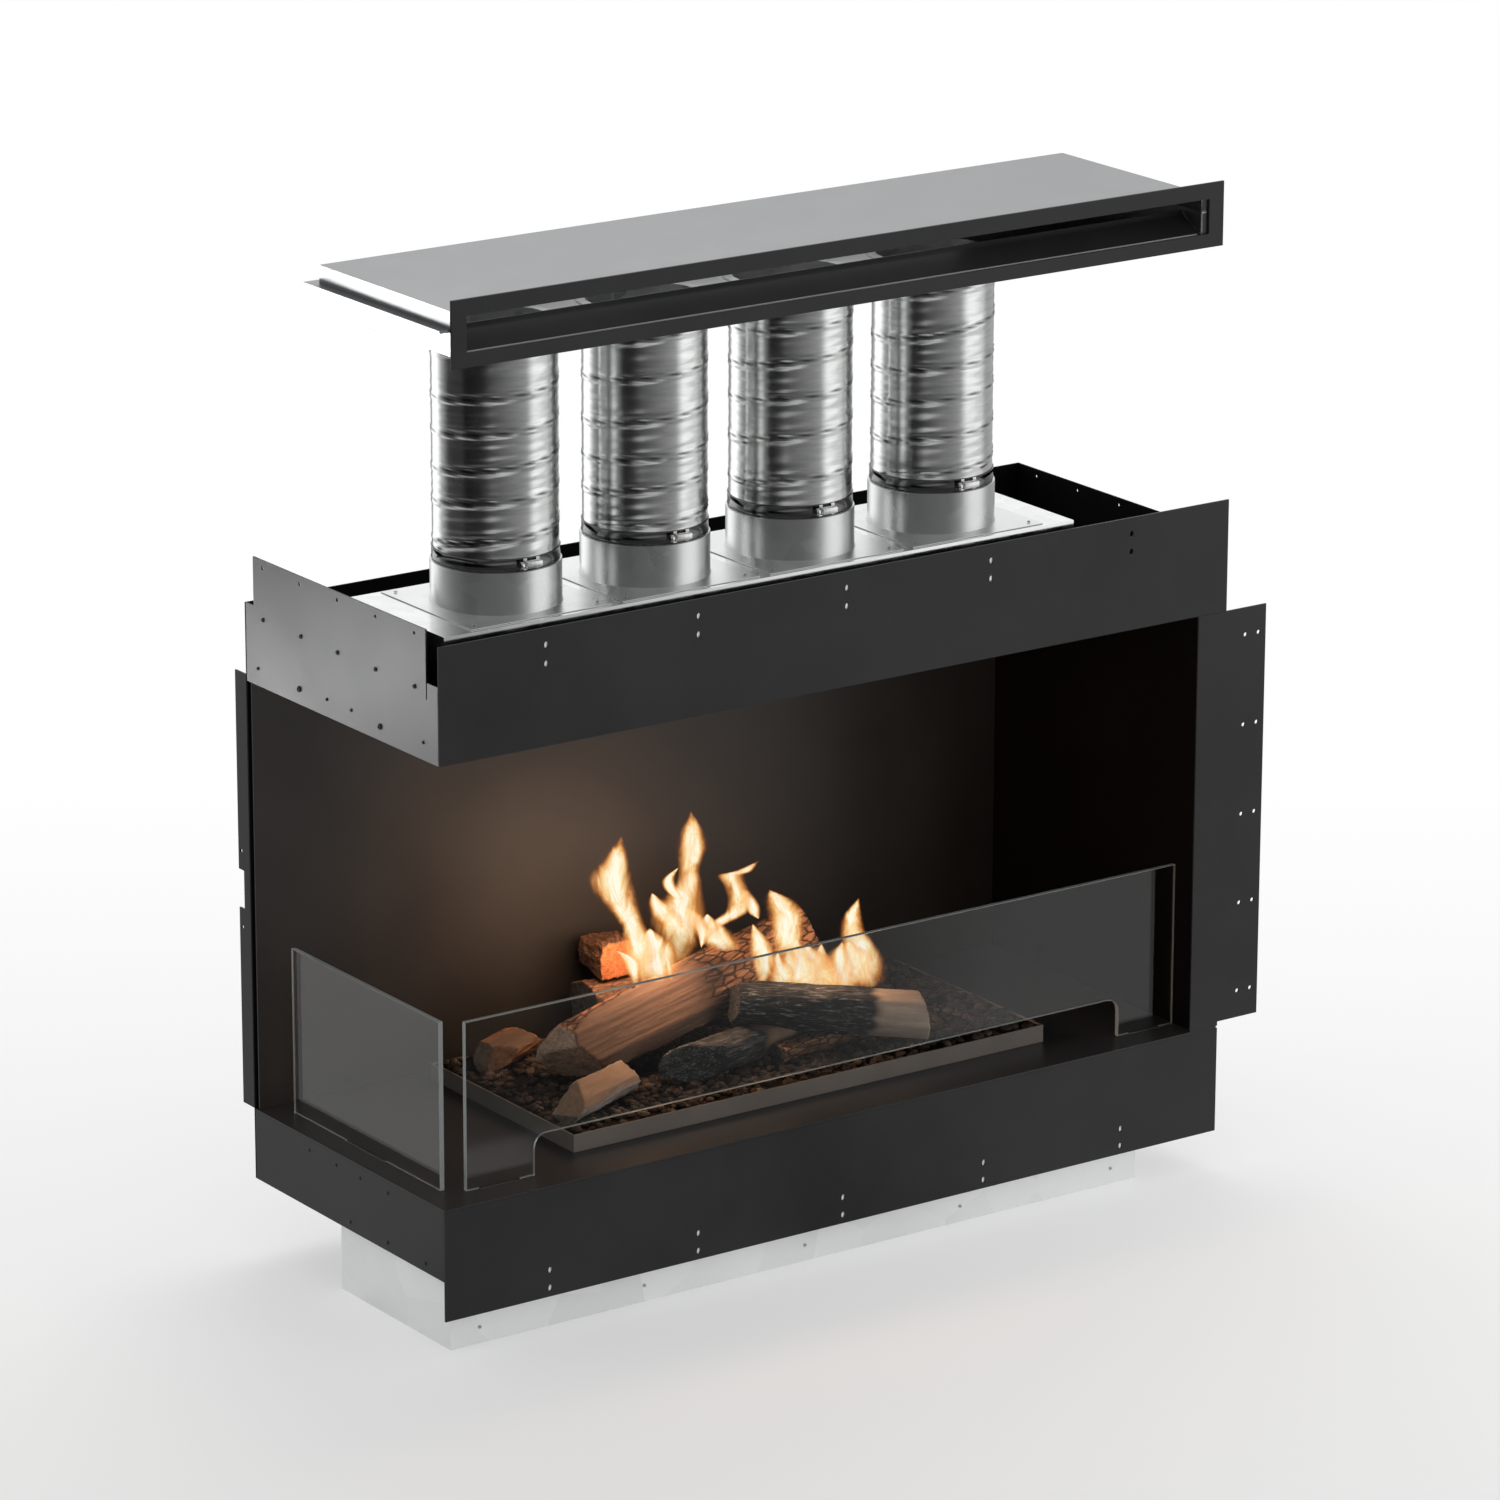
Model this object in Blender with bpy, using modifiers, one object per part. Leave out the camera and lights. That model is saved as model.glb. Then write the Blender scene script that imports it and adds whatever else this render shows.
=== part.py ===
"""Built-in corner bioethanol fireplace casing, open at the front and at the left.

Lengths are metres. The sizes are laid out from the casing's front left corner: X runs right along the
front, Y runs back from the front, Z runs up from the underside of the base. An empty then moves the whole
so that the origin lies under the middle of its outer box.
"""

import math

import bmesh
import bpy
from mathutils import Vector

# Sheets and clearances
STEEL = 0.002
ZINC = 0.0015
FIT = 0.0003
OVERRUN = 0.003
MERGE = 0.00001
FACING_SHARE = 0.5

# Casing of black sheet steel
FRONT_WIDTH = 1.060
CASE_DEPTH = 0.394
APRON_BOTTOM = 0.044
SIDE_BOTTOM = 0.0895
FLOOR_HEIGHT = 0.1724
WINDOW_HEIGHT = 0.499
FASCIA_HEIGHT = 0.1312
LEFT_FASCIA_HEIGHT = 0.1452
WALL_OVER_WINDOW = 0.0892
RETURN_WIDTH = 0.018
LINER_GAP = 0.004
CHAMBER_SIDE_GAP = 0.032

# Steps in the left fascia's upper edge
FASCIA_FRONT_STEP = 0.023
FASCIA_FRONT_DROP = 0.0582
FASCIA_SLIT_WIDTH = 0.002
FASCIA_SLIT_DROP = 0.077
FASCIA_REAR_STEP = 0.019
FASCIA_REAR_DROP = 0.056

# Pairs of upright slots in the front fascia and apron
SLOT_WIDTH = 0.005
SLOT_LENGTH = 0.008
SLOT_FIRST = 0.1357
SLOT_LAST_INSET = 0.1387
SLOT_COUNT = 5
SLOT_RISE = 0.0207
FASCIA_SLOT_DROP = 0.0192
APRON_SLOT_RISE = 0.010

# Round holes in the sheets
SMALL_HOLE = 0.0044
HOLE_SIDES = 8
FASCIA_HOLE_FIRST = 0.047
FASCIA_HOLE_LAST_INSET = 0.039
FASCIA_HOLE_COUNT = 5
FASCIA_HOLE_DROPS = (0.0089, 0.0676)
WALL_HOLE_DROP = 0.0086
WALL_HOLE_LAST_INSET = 0.037
WALL_HOLE_PITCH = 0.0785
WALL_HOLE_COUNT = 3

# Fixing flanges at the right and at the left rear
JAMB_WIDTH = 0.040
RIGHT_FLANGE_REACH = 0.058
RIGHT_FLANGE_STEP = 0.005
FLANGE_HOLE = 0.0053
FLANGE_HOLE_SPACING = 0.0191
FLANGE_HOLE_INSET = 0.0103
FLANGE_HOLE_PITCH = 0.1072
FLANGE_HOLE_ROWS = 5
FLANGE_HOLE_FIRST = 0.0377
REAR_FLANGE_REACH = 0.0236
REAR_FLANGE_RISE = 0.0066
REAR_FLANGE_LEG = 0.022
NOTCH_RISE = 0.2306
NOTCH_LENGTH = 0.045
NOTCH_DEPTH = 0.011
REAR_HOLE_INSET = 0.0056
REAR_HOLE_CLEARANCE = 0.022

# Galvanised base
BASE_LEFT = 0.020
BASE_RIGHT_GAP = 0.100
BASE_FRONT = 0.022
BASE_BACK_MARGIN = 0.010

# Burner in the floor
TANK_LENGTH = 0.400
TANK_WIDTH = 0.060
TANK_HEIGHT = 0.100
TANK_LIP = 0.012
TANK_CLEARANCE = 0.0008
BURNER_CENTRE_DEPTH = 0.205
WOOL_HEIGHT = 0.080
WINDOW_COUNT = 5
BURNER_WINDOW_LENGTH = 0.038
BURNER_WINDOW_WIDTH = 0.022
WINDOW_END_MARGIN = 0.021
WINDOW_LAP = 0.002
SHUTTER_MARGIN = 0.016
SHUTTER_WIDTH = 0.040
SHUTTER_TAB_RISE = 0.010
SHUTTER_TAB_WIDTH = 0.016
RUNNER_WIDTH = 0.0015

# Log tray with its pebbles
TRAY_LEFT = 0.2136
TRAY_RIGHT_GAP = 0.1633
TRAY_FRONT = 0.0705
TRAY_BACK_GAP = 0.028
TRAY_HEIGHT = 0.0205
PEBBLE_RELIEF = 0.0022
PEBBLE_COLUMNS = 22
PEBBLE_ROWS = 10
PEBBLE_WAVES = ((23, 5), (-9, 17))
TROUGH_MARGIN = 0.006

# Pile of ceramic logs
LOG_THICKNESS = 0.078
PILE_HEIGHT = 0.110
LOG_SIDES = 14
LOG_RINGS = 5
LOG_SWELL_SHARE = 0.05
LOG_SWELLS = ((3, 4, 1.0), (5, -7, 0.7))
LOG_SEAT_GAP = 0.0006

# Glass guards
GLASS = 0.006
GLASS_HEIGHT = 0.194
GLASS_SETBACK = 0.035
FRONT_GLASS_LEFT = 0.051
FRONT_GLASS_RIGHT_GAP = 0.038
GLASS_FOOT_LEFT = 0.0886
GLASS_FOOT_RIGHT = 0.0802
GLASS_CUT_RISE = 0.0466
GLASS_CUT_RADIUS = 0.015
GLASS_TAB_INSET = 0.018
SIDE_GLASS_INSET = 0.0278
SIDE_GLASS_FRONT = 0.0524
SIDE_GLASS_BACK_GAP = 0.031
SIDE_TAB_FRONT = 0.166
SIDE_TAB_LENGTH = 0.081
ARC_STEPS = 4

# Plenum under the four ducts
PLENUM_LEFT = 0.013
PLENUM_END_MARGIN = 0.1274
PLENUM_FRONT = 0.009
PLENUM_DEPTH = 0.189
PLENUM_HEIGHT = 0.1333
VENT_MARGIN = 0.040

# Ducts with their collars and clamps
DUCT_COUNT = 4
ROUND_STEPS = 20
DUCT_FIRST = 0.1406
DUCT_PITCH = 0.1925
DUCT_SETBACK = 0.1047
DUCT_BORE = 0.1344
DUCT_WALL = 0.0008
RIB_HEIGHT = 0.0014
RIB_COUNT = 18
DUCT_PLAIN_END = 0.018
COLLAR_BORE = 0.1392
COLLAR_WALL = 0.0014
COLLAR_HEIGHT = 0.047
COLLAR_PLATE = 0.179
NECK_LENGTH = 0.024
BAND_WIDTH = 0.013
BAND_THICKNESS = 0.0009
BAND_RISE = 0.0012
HOUSING_LENGTH = 0.025
HOUSING_HEIGHT = 0.009
HOUSING_DEPTH = 0.0075
WORM_RADIUS = 0.0026
WORM_HEAD_RADIUS = 0.0042
WORM_HEAD_LENGTH = 0.004
WORM_SIDES = 8

# Outlet hood
HOOD_GAP = 0.3032
HOOD_LEFT = 0.021
HOOD_RIGHT_GAP = 0.0445
HOOD_BACK = 0.261
HOOD_HEIGHT = 0.0485
HOOD_LIP = 0.013
HOOD_SEAM_SHARE = 0.56
HOOD_COLLAR_DEPTH = 0.026
HOOD_COLLAR_LIP = 0.009
FRAME_THICKNESS = 0.003
FRAME_LEFT = 0.0207
FRAME_RIGHT_GAP = 0.017
FRAME_UNDER = 0.0138
FRAME_HEIGHT = 0.0739
FRAME_END = 0.0188
FRAME_RIGHT_END = 0.0206
FRAME_LOWER_RAIL = 0.0159
FRAME_UPPER_RAIL = 0.0185

# Places that follow from the sizes
WINDOW_TOP = FLOOR_HEIGHT + WINDOW_HEIGHT
FASCIA_TOP = WINDOW_TOP + FASCIA_HEIGHT
LEFT_FASCIA_TOP = WINDOW_TOP + LEFT_FASCIA_HEIGHT
WALL_TOP = WINDOW_TOP + WALL_OVER_WINDOW
FLOOR_UNDER = FLOOR_HEIGHT - STEEL
BEHIND_FRONT = STEEL + FIT
BACK_FACE = CASE_DEPTH - STEEL
RIGHT_FACE = FRONT_WIDTH - STEEL
CHAMBER_BACK = BACK_FACE - LINER_GAP - STEEL
CHAMBER_RIGHT = RIGHT_FACE - CHAMBER_SIDE_GAP - STEEL
SLOT_PITCH = (FRONT_WIDTH - SLOT_FIRST - SLOT_LAST_INSET) / (SLOT_COUNT - 1)
FASCIA_HOLE_PITCH = (CASE_DEPTH - FASCIA_HOLE_FIRST - FASCIA_HOLE_LAST_INSET) / (FASCIA_HOLE_COUNT - 1)
BASE_LENGTH = FRONT_WIDTH - BASE_RIGHT_GAP - BASE_LEFT
BASE_BACK = BURNER_CENTRE_DEPTH + TANK_WIDTH / 2 + BASE_BACK_MARGIN
TRAY_LENGTH = CHAMBER_RIGHT - TRAY_RIGHT_GAP - TRAY_LEFT
TRAY_DEPTH = CHAMBER_BACK - TRAY_BACK_GAP - TRAY_FRONT
SIDE_GLASS_LENGTH = CHAMBER_BACK - SIDE_GLASS_BACK_GAP - SIDE_GLASS_FRONT
CEILING_UNDER = WINDOW_TOP + STEEL + FIT
CEILING_TOP = CEILING_UNDER + STEEL
TRAY_BOTTOM = FLOOR_HEIGHT + FIT
BED_BOTTOM = TRAY_BOTTOM + ZINC + FIT
BED_TOP = TRAY_BOTTOM + TRAY_HEIGHT - FIT
BURNER_CENTRE = TRAY_LEFT + TRAY_LENGTH / 2
BURNER_WINDOW_PITCH = (TANK_LENGTH - 2 * WINDOW_END_MARGIN - BURNER_WINDOW_LENGTH) / (WINDOW_COUNT - 1)
SHUTTER_TRAVEL = BURNER_WINDOW_LENGTH + WINDOW_LAP
SHUTTER_REACH = (BURNER_WINDOW_PITCH * (WINDOW_COUNT - 1) + BURNER_WINDOW_LENGTH) / 2 + SHUTTER_MARGIN
TANK_TOP = BED_BOTTOM + ZINC
BURNER_LID_TOP = TANK_TOP + FIT + ZINC
SHUTTER_UNDER = BURNER_LID_TOP + FIT
PLENUM_UNDER = CEILING_TOP + FIT
PLENUM_TOP = PLENUM_UNDER + PLENUM_HEIGHT
COLLAR_UNDER = PLENUM_TOP + FIT
SHOULDER = COLLAR_UNDER + COLLAR_HEIGHT
COLLAR_OUTER = COLLAR_BORE / 2 + COLLAR_WALL
NECK_OUTER = DUCT_BORE / 2 - FIT
DUCT_BOTTOM = SHOULDER + FIT
DUCT_OUTER = DUCT_BORE / 2 + DUCT_WALL
BAND_BOTTOM = DUCT_BOTTOM + BAND_RISE
BAND_OUTER = DUCT_OUTER + FIT + BAND_THICKNESS
WORM_SETBACK = BAND_OUTER + HOUSING_DEPTH / 2
WORM_HEIGHT = BAND_BOTTOM + BAND_WIDTH / 2
HOOD_UNDER = PLENUM_TOP + HOOD_GAP
DUCT_TOP = HOOD_UNDER - FIT
HOOD_FLOOR = HOOD_UNDER + ZINC
HOOD_TOP = HOOD_UNDER + HOOD_HEIGHT
HOOD_SEAM = HOOD_UNDER + HOOD_HEIGHT * HOOD_SEAM_SHARE
FRAME_BOTTOM = HOOD_UNDER - FRAME_UNDER
TOTAL_WIDTH = FRONT_WIDTH + RIGHT_FLANGE_REACH
TOTAL_DEPTH = CASE_DEPTH + REAR_FLANGE_REACH
DUCT_CENTRES = [DUCT_FIRST + DUCT_PITCH * number for number in range(DUCT_COUNT)]
PLENUM_LENGTH = DUCT_CENTRES[-1] + PLENUM_END_MARGIN - PLENUM_LEFT
HOOD_LENGTH = FRONT_WIDTH - HOOD_RIGHT_GAP - HOOD_LEFT
FRAME_LENGTH = FRONT_WIDTH - FRAME_RIGHT_GAP - FRAME_LEFT
WINDOW_CENTRES = [
    BURNER_CENTRE + BURNER_WINDOW_PITCH * (number - (WINDOW_COUNT - 1) / 2) for number in range(WINDOW_COUNT)
]

# Each log: share of the full thickness at its start and end, the two ends as shares of the tray's length and
# depth and of the pile's height, and the split faces as (direction in degrees, distance share from the axis)
LOG_SHARES = {
    "log_large_split": (
        (1.0, 1.05), (0.100, 0.460, 0.34), (0.682, 0.655, 0.86), ((150, 0.62), (35, 0.80), (265, 0.86)),
    ),
    "log_lower_middle": (
        (0.62, 0.58), (0.243, 0.190, 0.235), (0.577, 0.407, 0.182), ((95, 0.72), (205, 0.80)),
    ),
    "log_small_front": (
        (0.56, 0.50), (0.024, 0.155, 0.168), (0.199, 0.305, 0.188), ((120, 0.50), (10, 0.75)),
    ),
    "log_left_split": (
        (0.56, 0.52), (0.045, 0.770, 0.175), (0.165, 0.890, 0.195), ((100, 0.60), (220, 0.80)),
    ),
    "log_rear_charred": (
        (0.96, 0.90), (0.280, 0.870, 0.335), (0.600, 0.810, 0.32), ((80, 0.92),),
    ),
    "log_low_bark": (
        (0.34, 0.30), (0.500, 0.250, 0.105), (0.665, 0.300, 0.105), ((90, 0.60),),
    ),
    "log_front_charred": (
        (0.70, 0.78), (0.452, 0.400, 0.595), (0.787, 0.105, 0.285), ((95, 0.78), (230, 0.80)),
    ),
    "log_rear_sawn": (
        (0.76, 0.72), (0.334, 0.791, 0.868), (0.352, 1.020, 0.858),
        ((90, 0.82), (0, 0.86), (180, 0.86), (270, 0.86)),
    ),
}
# What each log lies on, besides the bed
LOG_SEATS = {
    "log_large_split": ("log_lower_middle", "log_small_front", "log_rear_charred"),
    "log_small_front": ("log_lower_middle",),
    "log_low_bark": ("log_lower_middle",),
    "log_front_charred": ("log_lower_middle", "log_low_bark", "log_large_split"),
    "log_rear_sawn": ("log_rear_charred", "log_large_split"),
}

for old in list(bpy.data.objects):
    bpy.data.objects.remove(old)

PARTS = bpy.data.collections.new("corner_bioethanol_fireplace")
CUTTERS = bpy.data.collections.new("cutters")
for collection in (PARTS, CUTTERS):
    bpy.context.scene.collection.children.link(collection)

ROOT = bpy.data.objects.new("corner_origin", None)
ROOT.location = (-TOTAL_WIDTH / 2, -TOTAL_DEPTH / 2, 0)
PARTS.objects.link(ROOT)


def material(name, colour, roughness, metallic=0.0, alpha=1.0):
    """A plain surface with the piece's colour, roughness and metallic value."""
    surface = bpy.data.materials.new(name)
    surface.use_nodes = True
    shader = surface.node_tree.nodes["Principled BSDF"]
    shader.inputs["Base Color"].default_value = (*colour, 1)
    shader.inputs["Roughness"].default_value = roughness
    shader.inputs["Metallic"].default_value = metallic
    shader.inputs["Alpha"].default_value = alpha
    return surface


BLACK = material("black_coated_steel", (0.022, 0.022, 0.023), 0.55, 0.2)
LINER = material("dark_chamber_steel", (0.035, 0.031, 0.028), 0.6, 0.2)
GALVANISED = material("galvanised_steel", (0.72, 0.73, 0.74), 0.3, 1.0)
PALE_ZINC = material("pale_zinc_sheet", (0.78, 0.79, 0.79), 0.45, 0.6)
ALUMINIUM = material("duct_aluminium", (0.8, 0.8, 0.8), 0.22, 1.0)
CLAMP = material("clamp_steel", (0.16, 0.16, 0.17), 0.35, 0.9)
SCREW = material("bright_screw_steel", (0.7, 0.7, 0.7), 0.25, 1.0)
STAINLESS = material("stainless_burner", (0.45, 0.44, 0.43), 0.35, 1.0)
WOOL = material("ceramic_wool", (0.85, 0.83, 0.78), 0.95)
PEBBLES = material("dark_pebbles", (0.07, 0.045, 0.032), 0.8)
SPLIT_WOOD = material("split_ceramic_log", (0.34, 0.19, 0.11), 0.85)
CHARRED = material("charred_ceramic_log", (0.06, 0.05, 0.05), 0.9)
CLEAR = material("guard_glass", (0.75, 0.82, 0.8), 0.03, 0.0, 0.35)


def place(thing, finish):
    """Put a finished piece with the others, held by the corner origin."""
    thing.data.materials.clear()
    thing.data.materials.append(finish)
    PARTS.objects.link(thing)
    thing.parent = ROOT
    return thing


def cutter(thing):
    """Put a cutting or joining shape with the guides."""
    thing.hide_render = True
    thing.display_type = "WIRE"
    CUTTERS.objects.link(thing)
    thing.parent = ROOT
    return thing


def combine(target, tool, operation="DIFFERENCE"):
    """Cut the target with a guide shape, or join the two."""
    step = target.modifiers.new(tool.name, "BOOLEAN")
    step.operation = operation
    step.solver = "EXACT"
    step.object = tool
    return step


def made(name, shape, middle=(0, 0, 0)):
    """An object from a bmesh that is laid out around its own middle."""
    bmesh.ops.recalc_face_normals(shape, faces=shape.faces)
    mesh = bpy.data.meshes.new(name)
    shape.to_mesh(mesh)
    shape.free()
    thing = bpy.data.objects.new(name, mesh)
    thing.location = middle
    return thing


def block(name, low, high):
    """A box between two corners."""
    shape = bmesh.new()
    bmesh.ops.create_cube(shape, size=1)
    bmesh.ops.scale(shape, vec=Vector(high) - Vector(low), verts=shape.verts)
    return made(name, shape, (Vector(low) + Vector(high)) / 2)


def carve(target, label, low, high):
    """Cut a box-shaped hole or step in a piece."""
    return combine(target, cutter(block(f"{target.name}_{label}", low, high)))


def circle(middle, radius, sides=HOLE_SIDES):
    """A round outline."""
    turns = [2 * math.pi * number / sides for number in range(sides)]
    return [(middle[0] + radius * math.cos(turn), middle[1] + radius * math.sin(turn)) for turn in turns]


def rectangle(left, low, right, high):
    """A square-cornered outline."""
    return [(left, low), (right, low), (right, high), (left, high)]


def upright_slot(middle, width, length):
    """A slot outline with round ends, standing on end."""
    straight = (length - width) / 2
    points = []
    for end, first in ((straight, 0), (-straight, math.pi)):
        for number in range(ARC_STEPS):
            turn = first + math.pi * number / (ARC_STEPS - 1)
            across = middle[0] + math.cos(turn) * width / 2
            points.append((across, middle[1] + end + math.sin(turn) * width / 2))
    return points


FACINGS = {"front": (math.pi / 2, 0, 0), "side": (math.pi / 2, 0, math.pi / 2), "level": (0, 0, 0)}


def plate(name, outlines, start, thickness, facing):
    """A flat plate from outlines, facing the front (X, Z), a side (Y, Z) or level (X, Y)."""
    curve = bpy.data.curves.new(name, "CURVE")
    curve.dimensions = "2D"
    curve.fill_mode = "BOTH"
    curve.extrude = thickness / 2
    for outline in outlines:
        spline = curve.splines.new("POLY")
        spline.points.add(len(outline) - 1)
        for point, (across, up) in zip(spline.points, outline):
            point.co = (across, up, 0, 1)
        spline.use_cyclic_u = True
    thing = bpy.data.objects.new(name, curve)
    thing.rotation_euler = FACINGS[facing]
    middle = start + thickness / 2
    thing.location = {"front": (0, middle, 0), "side": (middle, 0, 0), "level": (0, 0, middle)}[facing]
    return thing


def solid_from(outline_thing):
    """The same shape as a welded mesh, which can cut or be cut."""
    scene = bpy.context.scene.collection
    scene.objects.link(outline_thing)
    bpy.context.view_layer.update()
    graph = bpy.context.evaluated_depsgraph_get()
    mesh = bpy.data.meshes.new_from_object(outline_thing.evaluated_get(graph))
    name = outline_thing.name
    shape = bmesh.new()
    shape.from_mesh(mesh)
    bmesh.ops.remove_doubles(shape, verts=shape.verts, dist=MERGE)
    bmesh.ops.transform(shape, matrix=outline_thing.matrix_world, verts=shape.verts)
    bpy.data.objects.remove(outline_thing)
    bpy.data.meshes.remove(mesh)
    return made(name, shape)


def pierce(target, label, outlines, start, finish, facing):
    """Cut outlined holes through a wall that lies between two places."""
    tool = plate(f"{target.name}_{label}", outlines, start - OVERRUN, finish - start + 2 * OVERRUN, facing)
    return combine(target, cutter(solid_from(tool)))


def thicken(thing, wall):
    """Give an open surface its wall, on its inner side."""
    step = thing.modifiers.new("wall", "SOLIDIFY")
    step.thickness = wall
    step.offset = -1
    step.solidify_mode = "NON_MANIFOLD"
    step.nonmanifold_thickness_mode = "CONSTRAINTS"
    return thing


def folded(name, profile, axis, start, end, wall):
    """A folded sheet: a line of corners in the plane across an axis, drawn straight along it."""
    def spot(point, along):
        first, second = point
        return {"x": (along, first, second), "y": (first, along, second), "z": (first, second, along)}[axis]

    shape = bmesh.new()
    corners = [shape.verts.new(spot(point, start)) for point in profile]
    edges = [shape.edges.new(pair) for pair in zip(corners, corners[1:])]
    drawn = bmesh.ops.extrude_edge_only(shape, edges=edges)["geom"]
    moved = [item for item in drawn if isinstance(item, bmesh.types.BMVert)]
    bmesh.ops.translate(shape, vec=Vector(spot((0, 0), end - start)), verts=moved)
    return thicken(made(name, shape), wall)


def open_box(name, low, high, missing, wall, lips=()):
    """A folded box with some sides missing; a lip is an edge of a missing side turned outward."""
    thing = block(name, low, high)
    shape = bmesh.new()
    shape.from_mesh(thing.data)
    sides = {
        "left": (-1, 0, 0), "right": (1, 0, 0), "front": (0, -1, 0), "back": (0, 1, 0),
        "under": (0, 0, -1), "top": (0, 0, 1),
    }
    gone = [
        face for face in shape.faces
        if any(face.normal.dot(Vector(sides[side])) > FACING_SHARE for side in missing)
    ]
    bmesh.ops.delete(shape, geom=gone, context="FACES")
    for side, width, level in lips:
        outward = Vector(sides[side])
        rim = [
            edge for edge in shape.edges
            if edge.is_boundary
            and all(vert.co.dot(outward) > 0 and vert.co.z * level > 0 for vert in edge.verts)
            and abs(edge.verts[0].co.z - edge.verts[1].co.z) < MERGE
            and abs((edge.verts[0].co - edge.verts[1].co).dot(outward)) < MERGE
        ]
        drawn = bmesh.ops.extrude_edge_only(shape, edges=rim)["geom"]
        moved = [item for item in drawn if isinstance(item, bmesh.types.BMVert)]
        bmesh.ops.translate(shape, vec=outward * width, verts=moved)
        for face in (item for item in drawn if isinstance(item, bmesh.types.BMFace)):
            face.normal_update()
            if face.normal.z * level > 0:
                face.normal_flip()
    shape.to_mesh(thing.data)
    shape.free()
    return thicken(thing, wall)


def turned(name, profile, middle, steps):
    """A closed profile of (radius, height) points turned about an upright axis, outer side first."""
    shape = bmesh.new()
    corners = [shape.verts.new((radius, 0, height)) for radius, height in profile]
    for pair in zip(corners, corners[1:] + corners[:1]):
        if max(corner.co.x for corner in pair) > 0:
            shape.edges.new(pair)
    thing = made(name, shape, middle)
    step = thing.modifiers.new("turn", "SCREW")
    step.axis = "Z"
    step.steps = steps
    step.render_steps = steps
    step.use_merge_vertices = True
    step.merge_threshold = MERGE
    step.use_smooth_shade = True
    return thing


def rod(name, radius, length, middle, sides):
    """A round bar lying along X."""
    shape = bmesh.new()
    bmesh.ops.create_cone(shape, cap_ends=True, segments=sides, radius1=radius, radius2=radius, depth=length)
    thing = made(name, shape, middle)
    thing.rotation_euler = (0, math.pi / 2, 0)
    return thing


def casing():
    """The black sheets that make the casing."""
    floor_outlines = [
        rectangle(0, 0, RIGHT_FACE - FIT, BACK_FACE - FIT),
        rectangle(*burner_opening()),
        *glass_slots(),
    ]
    place(plate("floor_plate", floor_outlines, FLOOR_UNDER, STEEL, "level"), BLACK)

    top = FLOOR_UNDER - FIT
    front = folded("front_apron", [(0, APRON_BOTTOM), (0, top), (RETURN_WIDTH, top)], "x", 0, FRONT_WIDTH,
                   STEEL)
    place(front, BLACK)
    below = top - RETURN_WIDTH
    above = top + OVERRUN
    carve(front, "left_end", (-OVERRUN, BEHIND_FRONT, below), (BEHIND_FRONT, CASE_DEPTH, above))
    carve(front, "right_end", (RIGHT_FACE - FIT, BEHIND_FRONT, below),
          (FRONT_WIDTH + OVERRUN, CASE_DEPTH, above))
    pierce(front, "slots", slot_pairs(APRON_BOTTOM + APRON_SLOT_RISE), 0, STEEL, "front")

    left = folded("left_apron", [(0, SIDE_BOTTOM), (0, top), (RETURN_WIDTH, top)], "y", BEHIND_FRONT,
                  BACK_FACE - FIT, STEEL)
    place(left, BLACK)
    carve(left, "front_end", (STEEL, 0, below), (FRONT_WIDTH, RETURN_WIDTH + FIT, above))

    place(block("outer_back", (0, BACK_FACE, SIDE_BOTTOM), (FRONT_WIDTH, CASE_DEPTH, WALL_TOP)), BLACK)
    rearmost = CASE_DEPTH - WALL_HOLE_LAST_INSET
    wall_holes = [
        circle((rearmost - WALL_HOLE_PITCH * number, WALL_TOP - WALL_HOLE_DROP), SMALL_HOLE / 2)
        for number in range(WALL_HOLE_COUNT)
    ]
    right = [rectangle(BEHIND_FRONT, SIDE_BOTTOM, BACK_FACE - FIT, WALL_TOP), *wall_holes]
    place(plate("outer_right", right, RIGHT_FACE, STEEL, "side"), BLACK)

    liner_foot = FLOOR_HEIGHT + FIT
    liner_head = CEILING_UNDER - FIT
    place(block("inner_back", (BEHIND_FRONT, CHAMBER_BACK, liner_foot),
                (CHAMBER_RIGHT - FIT, CHAMBER_BACK + STEEL, liner_head)), LINER)
    place(block("inner_right", (CHAMBER_RIGHT, BEHIND_FRONT, liner_foot),
                (CHAMBER_RIGHT + STEEL, CHAMBER_BACK + STEEL, liner_head)), LINER)


def slot_pairs(lower):
    """The pairs of upright slots, one above the other, along the front."""
    return [
        upright_slot((SLOT_FIRST + SLOT_PITCH * number, lower + SLOT_RISE * level), SLOT_WIDTH, SLOT_LENGTH)
        for number in range(SLOT_COUNT) for level in (0, 1)
    ]


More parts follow.
